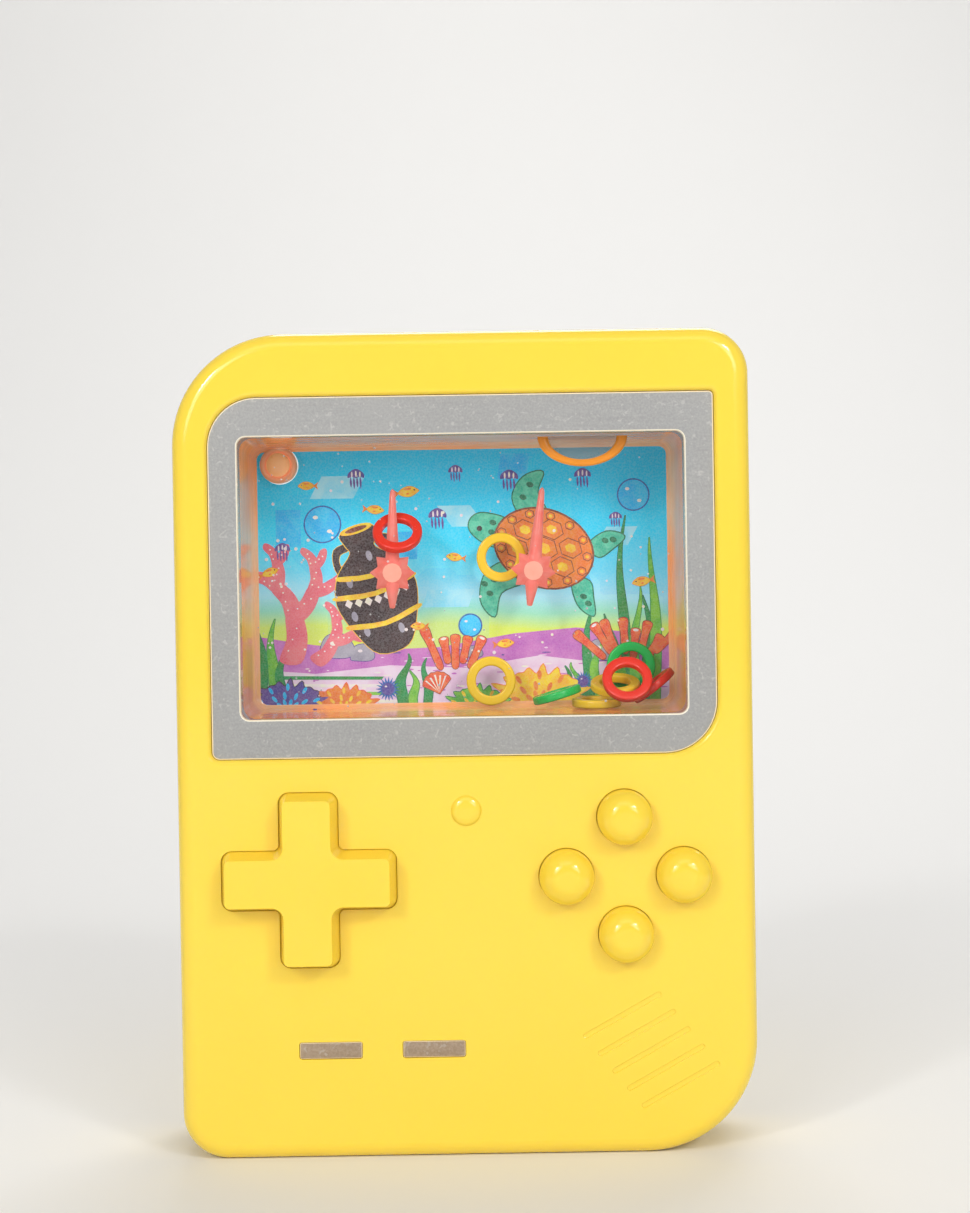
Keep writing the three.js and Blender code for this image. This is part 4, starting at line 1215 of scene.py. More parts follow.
    def rear(self) -> None:
        """The rear shell, with its screw wells, filler access and inner bosses."""
        parting, wall, spots = LEVELS.parting, LEVELS.rear_wall, SCREWS.values()
        top, out = parting - self.parting_gap, LEVELS.back - OVERRUN
        shell = self.half(LEVELS.back, LEVELS.back, top, (wall, top + OVERRUN, wall))
        inward, down = self.rear_lip
        shell = combined(shell, BODY.grown(inward).block(parting + down, top + OVERRUN, 16))
        bosses = [rod(self.rear_boss_radius, wall - self.wall / 2, top, *spot, 32) for spot in spots]
        shell = combined(shell, merged(bosses), "UNION")
        cuts = [rod(self.well_radius, out, self.well_floor, *spot, 32) for spot in spots]
        foot = self.well_floor - self.bore_overlap
        cuts += [rod(self.bore_radius, foot, top + OVERRUN, *spot, 24) for spot in spots]
        for cut in (*cuts, rod(self.plug_hole, out, wall + OVERRUN, *FILLER, 48)):
            shell = combined(shell, cut)

        def on_back(edge: Edge) -> bool:
            """True for the rim of an opening in the back."""
            return at_level(LEVELS.back)(edge) and sharper_than(self.rim_angle)(edge)

        round_edges(shell, self.back_round, 3, on_back)
        across, up = self.card_rib_half
        inside = [
            box(-across, across, y - up, y + up, wall - self.root, LEVELS.card_back - self.card_gap)
            for y in (WINDOW_MIDDLE - self.card_rib_up, WINDOW_MIDDLE + self.card_rib_up)
        ]
        for x in (-CONTROL_ACROSS, CONTROL_ACROSS):
            seat = tube(*self.seat_radii, wall - self.root, wall + self.seat_height, x, CONTROL_UP)
            left, right = x - self.door_half, x + self.door_half
            door = box(left, right, CONTROL_UP, CONTROL_UP + self.door_reach, wall, self.door_level)
            inside.append(combined(seat, door))
        dress = Dress("housing", "yellow_shell", (Finish.SHELL,), ("rear_shell",), even=True)
        add_piece("rear_housing", merged([shell, *inside]), dress)

    def film_faced(self, plate: Shape, face: float, radius: float, steps: int) -> Shape:
        """Rounds a plate's upper edges and marks all but its face as cut edge, whose pale colour is partly
        the cut core and partly a painted highlight.

        Args:
            plate: The plate, which is changed.
            face: The level of its face.
            radius: The round's radius.
            steps: How many steps the round has.

        Returns:
            The same plate.
        """
        round_edges(plate, radius, steps, at_level(face))
        for side in plate.faces:
            side.material_index = int(side.normal.z < self.film_slope)
        return plate

    def plates(self) -> None:
        """The silver plate round the window and the two small ones under the pad.

        Their cut edges show the paler core, and their near-white is partly a painted highlight.
        """
        bezel = combined(
            BEZEL.block(LEVELS.bezel_back, LEVELS.bezel_face, 14),
            WINDOW.block(LEVELS.bezel_back - OVERRUN, LEVELS.bezel_face + OVERRUN, 5),
        )
        finishes = (Finish.FILM, Finish.FILM_EDGE_AND_HIGHLIGHT)
        dress = Dress("housing", "silver_film", finishes, ("screen_bezel",), even=True)
        add_piece("bezel_plate", self.film_faced(bezel, LEVELS.bezel_face, self.plate_round, 5), dress)
        finishes = (Finish.INLAY, Finish.INLAY_EDGE_AND_HIGHLIGHT)
        for name, x in zip(("left", "right"), self.inlay_across):
            plate = self.inlay.block(*self.inlay_levels, 4)
            self.film_faced(plate, self.inlay_levels[1], self.inlay_round, 4)
            dress = Dress("housing", "silver_film", finishes, (f"{name}_inlay",))
            add_piece(f"{name}_inlay_plate", shifted(plate, x), dress)

    def screws(self) -> None:
        """The five pan-head screws in the back."""
        seat, shank = self.screw_seat, self.shank_radius
        profile = [*self.screw_head, (shank, 0.0)]
        for start in (self.thread_start + turn for turn in range(self.thread_turns)):
            profile += [(shank, start), (self.thread_radius, start + 0.5)]
        profile += self.screw_tip
        head = seat + profile[0][1]
        for name, (x, y) in SCREWS.items():
            shape = shifted(turned(profile, 28, x, y), 0.0, 0.0, seat)
            for across, up in (self.cross_slot, self.cross_slot[::-1]):
                slot = box(x - across, x + across, y - up, y + up, head - OVERRUN, head + self.cross_depth)
                shape = combined(shape, slot)
            dress = Dress("housing", "screw_steel", (Finish.STEEL,), (f"screw_{name}",))
            add_piece(f"pan_head_screw_{name}", shape, dress)

    def build(self) -> None:
        """Builds the whole housing."""
        self.front()
        self.rear()
        self.plates()
        self.screws()


@dataclass
class Controls:
    """The cross pad, the four round buttons and the pumps under them."""

    pad_top: float = 4.4
    pad_draft: float = 0.9
    pad_edge: float = 0.8
    button_top: float = 4.8
    button_straight: float = 1.4
    dish_radius: float = 2.4
    dish_depth: float = 0.22
    dome_powers: Point = (0.86, 0.92)
    flange_top: float = -2.1
    flanges: dict[int, Point] = field(default_factory=lambda: {-1: (1.2, 0.6), 1: (1.4, 0.7)})
    stem_radii: Point = (4.0, 3.2)
    stem_gap: float = 0.3
    pump_head: float = -9.5
    bellows_foot: float = -18.6
    bellows_foot_radius: float = 8.4
    bellows_foot_height: float = 0.9
    bellows_radius: float = 7.4
    bellows_wall: float = 0.8
    bellows_folds: int = 3
    crown: tuple[Point, ...] = ((6.3, -0.1), (6.0, 0.0), (0.0, 0.0), (0.0, -0.8))
    pump_floor: float = -23.9
    foot_profile: tuple[Point, ...] = (
        (0.0, 0.0), (9.2, 0.0), (9.5, 0.3), (9.5, 4.6), (9.1, 5.0), (1.0, 5.0), (1.0, 3.2), (0.0, 3.2),
    )
    barb_profile: tuple[Point, ...] = (
        (1.0, 51.0), (1.9, 51.0), (1.9, 54.4), (1.85, 54.5), (1.5, 55.3), (1.0, 55.3), (1.0, 51.0),
    )
    spigot: float = -21.05
    travel: float = 2.6
    hose_start: float = 52.4
    hose_end: float = 65.6
    hose_radii: Point = (2.85, 2.05)
    hose_steps: int = 14

    def control(self, name: str, side: int, caps: Sequence[Shape], dress: Dress) -> None:
        """Stands a control's caps on their flange and the hollow stem to the pump.

        Args:
            name: The piece's name.
            side: The control's side, -1 or 1.
            caps: What the player presses.
            dress: What the piece wears and where it belongs.
        """
        x, top = side * CONTROL_ACROSS, self.flange_top
        thick, sunk = self.flanges[side]
        flange = rod(FLANGE_RADIUS, top - thick, top, x, CONTROL_UP, 72)
        stem = tube(*self.stem_radii, self.pump_head + self.stem_gap, top - sunk, x, CONTROL_UP)
        add_piece(name, merged([*caps, flange, stem]), dress)

    def pad(self) -> None:
        """The cross pad, with drafted sides and a rolled upper edge."""
        cross = cross_blank(0.0, self.flange_top - self.flanges[-1][1], 0.0)
        top = [face for face in cross.faces if face.normal.z > LEVEL_FACE]
        bmesh.ops.inset_region(
            cross, faces=top, thickness=self.pad_draft, depth=self.pad_top, use_even_offset=True
        )
        round_edges(cross, self.pad_edge, 5, lambda e: at_level(self.pad_top)(e) and sharper_than(30.0)(e))
        dress = Dress("pad", "yellow_button", (Finish.BUTTON,), ("cross_pad",), 30.0, True)
        self.control("cross_pad_cap", -1, [cross], dress)

    def buttons(self) -> None:
        """The four round buttons: a short straight side, a dome and a shallow dish on top."""
        rise = self.button_top - self.button_straight
        foot = self.flange_top - self.flanges[1][1]
        profile = [(0.0, foot), (BUTTON_RADIUS, foot)]
        steps, (across, up) = 26, self.dome_powers
        for k in range(steps + 1):
            angle = k / steps * QUARTER
            share = math.cos(angle) ** across
            hollow = self.dish_depth * max(0.0, 1 - (share * BUTTON_RADIUS / self.dish_radius) ** 2) ** 2
            height = self.button_straight + rise * math.sin(angle) ** up - hollow
            profile.append((BUTTON_RADIUS * share if k < steps else 0.0, height))
        caps = [turned(profile, 56, *spot) for spot in button_centres()]
        dress = Dress("buttons", "yellow_button", (Finish.BUTTON,), ("round_buttons",), 40.0, True)
        self.control("round_button_caps", 1, caps, dress)

    def bellows(self, name: str, x: float) -> None:
        """A soft pump bellows with rolled folds.

        Args:
            name: The pump's side, "left" or "right".
            x: Where its axis is across the face.
        """
        foot, head, edge = self.bellows_foot, self.pump_head, self.bellows_foot_radius
        low, high = foot + self.bellows_foot_height, head - self.bellows_wall
        outside = [(edge, foot), (edge, low)]
        steps = 12 * self.bellows_folds
        for k in range(steps + 1):
            share = k / steps
            fold = math.cos(share * self.bellows_folds * math.tau)
            outside.append((self.bellows_radius - fold, low + share * (high - low)))
        inside = [(radius - self.bellows_wall, height) for radius, height in reversed(outside[1:])]
        crown = [(radius, head + up) for radius, up in self.crown]
        profile = [*outside, *crown, *inside, (edge - self.bellows_wall, foot), (edge, foot)]
        dress = Dress("housing", "soft_pump", (Finish.SOFT_PUMP,), (f"{name}_bellows",))
        piece = add_piece(f"{name}_bellows_soft", turned(profile, 48, x, CONTROL_UP), dress)
        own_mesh(piece)

    def pump_base(self, name: str, x: float) -> None:
        """The rigid pump base with its barbed spigot.

        Args:
            name: The pump's side, "left" or "right".
            x: Where its axis is across the face.
        """
        foot = shifted(turned(self.foot_profile, 56, x, CONTROL_UP), 0.0, 0.0, self.pump_floor)
        barb = laid_along_y(turned(self.barb_profile, 28), x, self.spigot)
        dress = Dress("housing", "white_pump", (Finish.PUMP_BASE,), (f"{name}_pump_base",))
        add_piece(f"{name}_pump_foot", merged([foot, barb]), dress)

    def hose(self, name: str, x: float) -> None:
        """The short moulded hose between the pump's spigot and the tank's.

        Args:
            name: The pump's side, "left" or "right".
            x: Where the hose is across the face.
        """
        start = Vector((x, self.hose_start, self.spigot))
        reach = Vector((0.0, self.hose_end - start.y, LEVELS.jets - start.z))
        step = 1 / self.hose_steps

        def along(share: float) -> Vector:
            """The point at this share of the hose's length."""
            ease = share * share * (3 - 2 * share)
            return start + Vector((0.0, share * reach.y, ease * reach.z))

        outer, inner = self.hose_radii
        wall = [(outer, k * step) for k in range(self.hose_steps + 1)]
        shape = turned([*wall, *((inner, height) for _, height in reversed(wall)), wall[0]], 24)
        for vert in shape.verts:
            share = vert.co.z
            ahead = along(min(share + step, 1.0)) - along(max(share - step, 0.0))
            place = Matrix.Translation(along(share)) @ ahead.to_track_quat("Z", "X").to_matrix().to_4x4()
            vert.co = place @ Vector((vert.co.x, vert.co.y, 0.0))
        bmesh.ops.recalc_face_normals(shape, faces=shape.faces)
        dress = Dress("housing", "soft_pump", (Finish.SOFT_PUMP,), (f"{name}_hose",))
        add_piece(f"{name}_pump_hose", shape, dress)

    def build(self) -> None:
        """Builds both controls and their pumps."""
        self.pad()
        self.buttons()
        for name, side, joint in (("left", -1, "pad_press"), ("right", 1, "buttons_press")):
            self.bellows(name, side * CONTROL_ACROSS)
            self.pump_base(name, side * CONTROL_ACROSS)
            self.hose(name, side * CONTROL_ACROSS)


# The tank and what lies in it


@dataclass
class Tank:
    """The clear tank, its filler, and the air that is trapped in its water."""

    wall: float = 1.3
    taper: float = 0.8
    back_round: float = 1.0
    rim: Outline = Outline(74.0, 49.0, WINDOW_MIDDLE, (2.5, 2.5, 2.5, 2.5))
    rim_thick: float = 1.5
    jet_radius: float = 1.9
    jet_bore: float = 1.0
    jet_reach: Point = (63.0, 66.9)
    bore_reach: Point = (62.0, 68.5)
    neck_hole: float = 2.7
    socket_radii: Point = (2.1, 1.55)
    socket_height: float = 1.2
    root: float = 0.05
    neck_cut: float = 109.1
    neck: tuple[Point, ...] = (
        (1.95, -21.4), (2.55, -21.4), (2.65, -21.3), (2.65, -20.4), (2.4, -20.4), (2.4, -18.5),
        (2.95, -18.5), (2.95, -17.7), (2.88, -17.48), (2.7, -17.33), (2.5, -17.3), (2.2, -17.32),
        (2.02, -17.45), (1.95, -17.7), (1.95, -21.4),
    )
    plug: tuple[Point, ...] = (
        (0.0, -23.8), (1.3, -23.8), (1.5, -23.6), (1.5, -22.75), (1.65, -22.6), (2.5, -22.6),
        (2.7, -22.45), (2.7, -21.85), (2.55, -21.7), (1.92, -21.7), (1.92, -17.2), (1.84, -16.75),
        (1.56, -16.42), (1.1, -16.26), (0.5, -16.2), (0.0, -16.2),
    )
    air_middle: Point = (18.8, 109.7)
    air_half_width: float = 6.1
    air_drop: float = 4.1
    air_rim: float = 0.85
    air_depth: float = 0.6
    air_skin: float = 0.05
    fine_count: int = 90
    fine_seed: int = 4
    fine_gap: float = 0.05
    fine_spread: Point = (32.0, 20.0)
    fine_radii: tuple[float, ...] = (0.09, 0.12, 0.12, 0.16, 0.22)

    def lens(self, frame: dict[str, Any]) -> None:
        """The flat lens keeps its CAD node, in clear styrene.
        """
        materials = frame["nodes"]["tank_lens"].data.materials
        materials.clear()
        materials.append(Finish.LENS.material())
        LOG.info("tank_lens: dressed as it is")

    def jets(self, radius: float, reach: Point, steps: int) -> Shape:
        """A rod at each of the two jets, which runs up the face.

        Args:
            radius: The rods' radius.
            reach: Where they start and end, up the face.
            steps: How many sides they have.

        Returns:
            Both rods in one mesh.
        """
        return merged(
            laid_along_y(rod(radius, *reach, steps=steps), x, LEVELS.jets)
            for x in (-CONTROL_ACROSS, CONTROL_ACROSS)
        )

    def tray(self) -> None:
        """The open tray behind the lens, with its rim, peg sockets and spigots."""
        back, floor, front = LEVELS.tray_back, LEVELS.chamber_back, LEVELS.tray_front
        outer_line = CHAMBER.grown(self.wall)
        outer = tapered(
            outer_line.block(back, front - self.rim_thick / 2, 6), outer_line, back, self.taper
        )
        shell = combined(outer, self.rim.block(front - self.rim_thick, front, 6), "UNION")
        shell = combined(shell, self.jets(self.jet_radius, self.jet_reach, 28), "UNION")
        chamber = tapered(CHAMBER.block(floor, front + OVERRUN, 8), CHAMBER, floor, self.taper)
        shell = combined(shell, round_edges(chamber, self.back_round, 5, at_level(floor)))
        hole = rod(self.neck_hole, back - OVERRUN, floor + OVERRUN, *FILLER, 40)
        bores = self.jets(self.jet_bore, self.bore_reach, 20)
        shell = combined(shell, merged([hole, bores]))
        for face in shell.faces:
            face.material_index = int(abs(face.normal.z) < LEVEL_FACE)
        foot, head = floor - self.root, floor + self.socket_height
        sockets = [tube(*self.socket_radii, foot, head, x, PEG_UP) for x in (-PEG_ACROSS, PEG_ACROSS)]
        finishes = (Finish.TRAY_BACK, Finish.TRAY_WALL)
        dress = Dress("housing", "clear_tank", finishes, ("tank_tray",), 30.0, True)
        add_piece("tank_tray_moulding", merged([shell, *sockets]), dress)

    def filler(self) -> None:
        """The soft neck in the tray's hole, cut flat beside the rim, and the plug in the neck."""
        neck = turned(self.neck, 64, *FILLER)
        bmesh.ops.holes_fill(neck, edges=halved(neck, self.neck_cut), sides=0)
        bmesh.ops.dissolve_degenerate(neck, dist=NEAR, edges=neck.edges)
        dress = Dress("housing", "peach_plug", (Finish.NECK,), ("filler_neck",))
        add_piece("filler_neck_ring", neck, dress)
        dress = Dress("plug", "peach_plug", (Finish.PLUG,), ("filler_plug",))
        add_piece("filler_plug_stopper", turned(self.plug, 56, *FILLER), dress)

    def air_pocket(self) -> None:
        """The large bubble under the top wall: half a round rim with a thin skin across it."""
        rim = bmesh.new()
        place = Matrix.Translation((self.air_half_width, 0.0, 0.0)) @ Matrix.Diagonal((1.0, 1.0, 0.5, 1.0))
        place @= Matrix.Rotation(QUARTER, 4, "X")
        bmesh.ops.create_circle(rim, segments=20, radius=self.air_rim, matrix=place)
        bmesh.ops.spin(
            rim, geom=[*rim.verts, *rim.edges], cent=(0.0, 0.0, 0.0), axis=(0.0, 0.0, 1.0),
            angle=-math.pi, steps=44,
        )
        bmesh.ops.holes_fill(rim, edges=[edge for edge in rim.edges if edge.is_boundary], sides=0)
        skin = bmesh.new()
        bmesh.ops.create_circle(skin, cap_ends=True, segments=64, radius=self.air_half_width)
        halved(skin, 0.0)
        bmesh.ops.remove_doubles(skin, verts=skin.verts, dist=NEAR)
        for face in raised(skin, self.air_skin).faces:
            face.material_index = 1
        size = Vector((1.0, self.air_drop / self.air_half_width, 1.0))
        place = Matrix.Translation((*self.air_middle, LEVELS.lens_back - self.air_depth))
        bubble = placed(merged([rim, skin]), place @ Matrix.Diagonal(size).to_4x4())
        add_piece("air_pocket", bubble, Dress("housing", "clear_tank", (Finish.AIR_RIM, Finish.AIR_SKIN)))

    def fine_bubbles(self) -> None:
        """The fine bubbles that cling to the back of the lens."""
        chance = Random(self.fine_seed)
        shape = bmesh.new()
        for _ in range(self.fine_count):
            radius = chance.choice(self.fine_radii)
            x, y = (chance.uniform(-reach, reach) for reach in self.fine_spread)
            place = Matrix.Translation((x, WINDOW_MIDDLE + y, LEVELS.lens_back - radius - self.fine_gap))
            bmesh.ops.create_icosphere(shape, subdivisions=1, radius=radius, matrix=place)
        add_piece("fine_bubbles", shape, Dress("housing", "clear_tank", (Finish.TINY_AIR,), (), 80.0))

    def build(self, frame: dict[str, Any]) -> None:
        """Builds the tank round what lies in it.
        """
        self.lens(frame)
        self.tray()
        self.filler()
        self.air_pocket()
        self.fine_bubbles()


@dataclass
class Pegs:
    """The two spears that the rings land on, each with a faceted star at its waist."""

    level: float = -11.8
    sides: tuple[tuple[str, int, float], ...] = (("left", -1, -1.0), ("right", 1, -7.0))
    tip: float = 13.2
    tail: float = 5.6
    waist: float = 1.15
    end: float = 0.45
    star_radius: float = 3.65
    notch_radius: float = 2.55
    star_half: float = 1.2
    hub_radius: float = 1.5
    facet_round: float = 0.07
    post_radius: float = 1.2
    post_length: float = 8.0
    points: int = 8

    def star(self) -> Shape:
        """The star: a mid loop of points and notches between two hub facets.

        Returns:
            The shape.
        """
        shape = bmesh.new()
        loops = []
        for level in (-self.star_half, 0.0, self.star_half):
            verts = bmesh.ops.create_circle(
                shape, cap_ends=level != 0.0, segments=2 * self.points, radius=self.hub_radius,
                matrix=Matrix.Translation((0.0, 0.0, level)),
            )["verts"]
            if level == 0.0:
                for k, vert in enumerate(sorted(verts, key=lambda v: math.atan2(v.co.y, v.co.x))):
                    vert.co *= (self.star_radius if k % 2 else self.notch_radius) / self.hub_radius
            loops.append({edge for vert in verts for edge in vert.link_edges})
        for low, high in zip(loops, loops[1:]):
            bmesh.ops.bridge_loops(shape, edges=[*low, *high])
        bmesh.ops.recalc_face_normals(shape, faces=shape.faces)
        for face in shape.faces:
            face.material_index = int(face.normal.z > 0.95)
        return round_edges(shape, self.facet_round, 2, sharper_than(12.0))

    def spear(self) -> Shape:
        """The tapered spear, which points up the face.

        Returns:
            The shape.
        """
        share = self.star_radius / 2
        profile = [
            (0.0, -self.tail), (self.end * 0.75, -self.tail + 0.06), (self.end, -self.tail + 0.25),
            (self.waist, -share), (self.waist, share), (self.end, self.tip - 0.8),
            (self.end * 0.7, self.tip - 0.3), (0.0, self.tip),
        ]
        return laid_along_y(turned(profile, 28))

    def build(self) -> None:
        """Builds both pegs, each with its post to the tank's back wall."""
        for name, side, lean in self.sides:
            post = rod(self.post_radius, -self.post_length, 0.0, steps=28)
            shape = merged([self.spear(), self.star(), post])
            spot = Matrix.Translation((side * PEG_ACROSS, PEG_UP, self.level))
            place = UPRIGHT @ spot @ Matrix.Rotation(math.radians(lean), 4, "Z")
            dress = Dress("housing", "coral_peg", (Finish.PEG, Finish.HUB), (f"{name}_peg",), 25.0)
            add_piece(f"{name}_peg_spear", shape, dress, place)


@dataclass(frozen=True)
class RingPlace:
    """One ring: its two names and how it is turned, in degrees.

    Args:
        colour: Its colour, as it stands in its node's, body's and slot's names.
        spot: Where it lies, as it stands in its node's and body's names.
        turn: Its turn about the face's x, 90 when it lies flat.
        slant: Its slant in the face's plane after that.
    """

    colour: str
    spot: str
    turn: float
    slant: float = 0.0


@dataclass
class Rings:
    """The nine loose rings, with a flat section whose corners are rounded."""

    outer: float = 3.9
    width: float = 1.5
    thickness: float = 1.3
    corner: float = 0.32
    places: tuple[RingPlace, ...] = (
        RingPlace("red", "on_peg", 139.0), RingPlace("yellow", "by_peg", 0.0),
        RingPlace("red", "at_wall", 90.0, 38.0), RingPlace("yellow", "flat", 93.5),
        RingPlace("green", "leaning", 90.0, 16.0), RingPlace("yellow", "on_heap", 109.0),
        RingPlace("red", "front", -33.0), RingPlace("green", "back", 0.0),
        RingPlace("yellow", "centre", 0.0),
    )

    def ring(self) -> Shape:
        """One ring about the origin, spun from its section.

        Returns:
            The shape.
        """
        shape = bmesh.new()
        place = Matrix.Translation((self.outer - self.width / 2, 0.0, 0.0))
        place @= Matrix.Rotation(QUARTER, 4, "X") @ Matrix.Diagonal((self.width, self.thickness, 1.0, 1.0))
        bmesh.ops.create_grid(shape, x_segments=1, y_segments=1, size=0.5, matrix=place)
        bmesh.ops.bevel(
            shape, geom=shape.verts[:], offset=self.corner, offset_type="OFFSET", segments=4,
            profile=0.5, affect="VERTICES", clamp_overlap=True, material=-1,
        )
        bmesh.ops.delete(shape, geom=shape.faces[:], context="FACES_ONLY")
        return spun(shape, 64)

    def build(self) -> None:
        """Lays every ring where its CAD node is."""
        for ring in self.places:
            node = f"ring_{ring.colour}_{ring.spot}"
            low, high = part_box(node)
            place = Matrix.Translation((low + high) / 2) @ Matrix.Scale(MM, 4)
            for degrees, axis in ((90.0, "X"), (ring.slant, "Z"), (ring.turn, "X")):
                place @= Matrix.Rotation(math.radians(degrees), 4, axis)
            finish = Finish[f"RING_{ring.colour.upper()}"]
            body = f"{ring.colour}_ring_{ring.spot}"
            dress = Dress(body, f"ring_{ring.colour}", (finish,), (node,), 60.0)
            add_piece(f"{node}_moulded", self.ring(), dress, place)


# The printed card


def smooth_outline(points: Sequence[Point], steps: int = 5) -> list[Point]:
    """A closed flowing line through a few points.

    Args:
        points: The points, in order.
        steps: How many new points each stretch gets.

    Returns:
        The points of the line.
    """
    made: list[Point] = []
    count = len(points)
    for k in range(count):
        a, b, c, d = (Vector(points[(k + shift) % count]) for shift in (-1, 0, 1, 2))
        for t in (step / steps for step in range(steps)):
            bends = (2 * a - 5 * b + 4 * c - d) * t**2 + (3 * b - a - 3 * c + d) * t**3
            made.append(tuple(0.5 * (2 * b + (c - a) * t + bends)))
    return made


def oval(x: float, y: float, across: float, up: float, steps: int = 26) -> list[Point]:
    """The outline of an oval about a point."""
    turns = [k / steps * math.tau for k in range(steps)]
    return [(x + across * math.cos(turn), y + up * math.sin(turn)) for turn in turns]


@dataclass(frozen=True)
class Spot:
    """Where a motif is printed on the card.

    Args:
        x: Where its origin goes across the card.
        y: Where its origin goes up the card.
        size: The factor on its size.
        turn: Its turn in degrees.
        flip: True to mirror it left to right first.
    """

    x: float
    y: float
    size: float = 1.0
    turn: float = 0.0
    flip: bool = False

    def at(self, points: Iterable[Point]) -> list[Point]:
        """An outline about the origin, moved to this spot.

        Args:
            points: The outline.

        Returns:
            The moved outline.
        """
        c, s = (self.size * part(math.radians(self.turn)) for part in (math.cos, math.sin))
        side = -1 if self.flip else 1
        return [(self.x + side * u * c - v * s, self.y + side * u * s + v * c) for u, v in points]


@dataclass(frozen=True)
class Flat:
    """One flat of ink of a motif, about the motif's origin.

    Args:
        ink: Its ink.
        points: Its outline.
        layer: Its layer over the motif's lowest.
        line: The ink of the line round it, or None for no line.
        width: The line's width in millimetres.
    """

    ink: Ink
    points: list[Point]
    layer: int = 0
    line: Ink | None = None
    width: float = 0.2


def fish() -> list[Flat]:
    """A small plain golden fish.

    Returns:
        Its flats of ink.
    """
    body = [
        (-1.0, 0.0), (-0.5, 0.42), (0.3, 0.5), (1.0, 0.06), (0.9, -0.12), (0.2, -0.45), (-0.5, -0.36),
    ]
    return [
        Flat(Ink.ORANGE, [(-0.9, 0.0), (-1.6, 0.5), (-1.42, 0.0), (-1.6, -0.5)]),
        Flat(Ink.YELLOW, smooth_outline(body), 0, Ink.ORANGE, 0.09),
        Flat(Ink.ORANGE, oval(-0.05, 0.3, 0.42, 0.13, 12), 2),
        Flat(Ink.ORANGE, oval(-0.1, -0.18, 0.16, 0.1, 10), 2),
        Flat(Ink.NIGHT, oval(0.62, 0.12, 0.09, 0.09, 8), 2),
    ]


def jelly() -> list[Flat]:
    """A small striped jellyfish.

    Returns:
        Its flats of ink.
    """
    bell = [
        (-1.0, 0.0), (-0.9, 0.6), (0.0, 1.1), (0.9, 0.6), (1.0, 0.0), (0.5, 0.12), (0.0, -0.02),
        (-0.5, 0.12),
    ]
    flats = []
    for k in range(4):
        at = -0.6 + k * 0.4
        strand = [(at - 0.07, 0.1), (at - 0.16, -0.6), (at, -1.2 - 0.2 * (k % 2)), (at + 0.1, -0.6)]
        flats.append(Flat(Ink.VIOLET, smooth_outline(strand, 3)))
    flats.append(Flat(Ink.VIOLET, smooth_outline(bell), 1))
    stripes = [oval(at, 0.5 - abs(at) * 0.2, 0.11, 0.36, 12) for at in (-0.5, 0.0, 0.5)]
    return [*flats, *(Flat(Ink.CREAM, stripe, 2) for stripe in stripes)]


def round_bubble() -> list[Flat]:
    """A large bubble with a dark outline and two glints."""
    glints = [Flat(Ink.CREAM, oval(side, -side, 0.15, 0.11, 10), 2) for side in (-0.4, 0.4)]
    return [Flat(Ink.SKY, oval(0.0, 0.0, 1.0, 1.0, 30), 0, Ink.NAVY, 0.24), *glints]


def turtle() -> list[Flat]:
    """A swimming turtle: teal limbs and an orange shell with brown plates.

    Returns:
        Its flats of ink.
    """
    limbs = (
        [(0.5, 0.45), (0.95, 0.9), (0.85, 1.5), (0.45, 1.72), (0.5, 1.2), (0.1, 0.75)],
        [(0.55, -0.4), (1.0, -0.75), (0.95, -1.25), (0.6, -1.5), (0.55, -1.05), (0.2, -0.7)],
        [(-0.8, 0.4), (-1.1, 0.85), (-1.5, 0.95), (-1.35, 0.6), (-1.15, 0.3)],
        [(-0.85, -0.4), (-1.1, -0.8), (-1.5, -0.85), (-1.35, -0.5), (-1.15, -0.25)],
        [(0.9, 0.28), (1.25, 0.34), (1.6, 0.2), (1.66, -0.04), (1.45, -0.24), (0.9, -0.26)],
    )
    dots = (
        (0.75, 1.0), (0.72, 1.3), (0.62, 0.85), (0.8, -0.85), (0.76, -1.15), (-1.15, 0.65), (-1.3, 0.75),
        (-1.15, -0.62), (-1.3, -0.7), (1.15, 0.08), (1.2, -0.12), (0.9, 1.15),
    )
    flats = [Flat(Ink.TEAL, smooth_outline(limb), 0, Ink.PINE) for limb in limbs]
    flats += [Flat(Ink.PINE, oval(*dot, 0.08, 0.06, 8), 2) for dot in dots]
    flats.append(Flat(Ink.NIGHT, oval(1.42, 0.1, 0.06, 0.06, 8), 2))
    flats.append(Flat(Ink.ORANGE, oval(0.0, 0.0, 1.06, 0.8, 36), 2, Ink.BROWN, 0.3))
    plates = [(0.0, 0.0, 0.3, 0.24)]
    for angle in (k * math.tau / 6 + 0.5 for k in range(6)):
        plates.append((0.6 * math.cos(angle), 0.43 * math.sin(angle), 0.25, 0.2))
    plates += [(x, y, 0.09, 0.08) for x, y in oval(0.0, 0.0, 0.95, 0.69, 13)]
    for x, y, across, up in plates:
        flats.append(Flat(Ink.ORANGE, oval(x, y, across, up, 6), 4, Ink.BROWN, 0.16))
        flats.append(Flat(Ink.YELLOW, oval(x, y, across / 2, up / 2, 6), 6))
    return flats


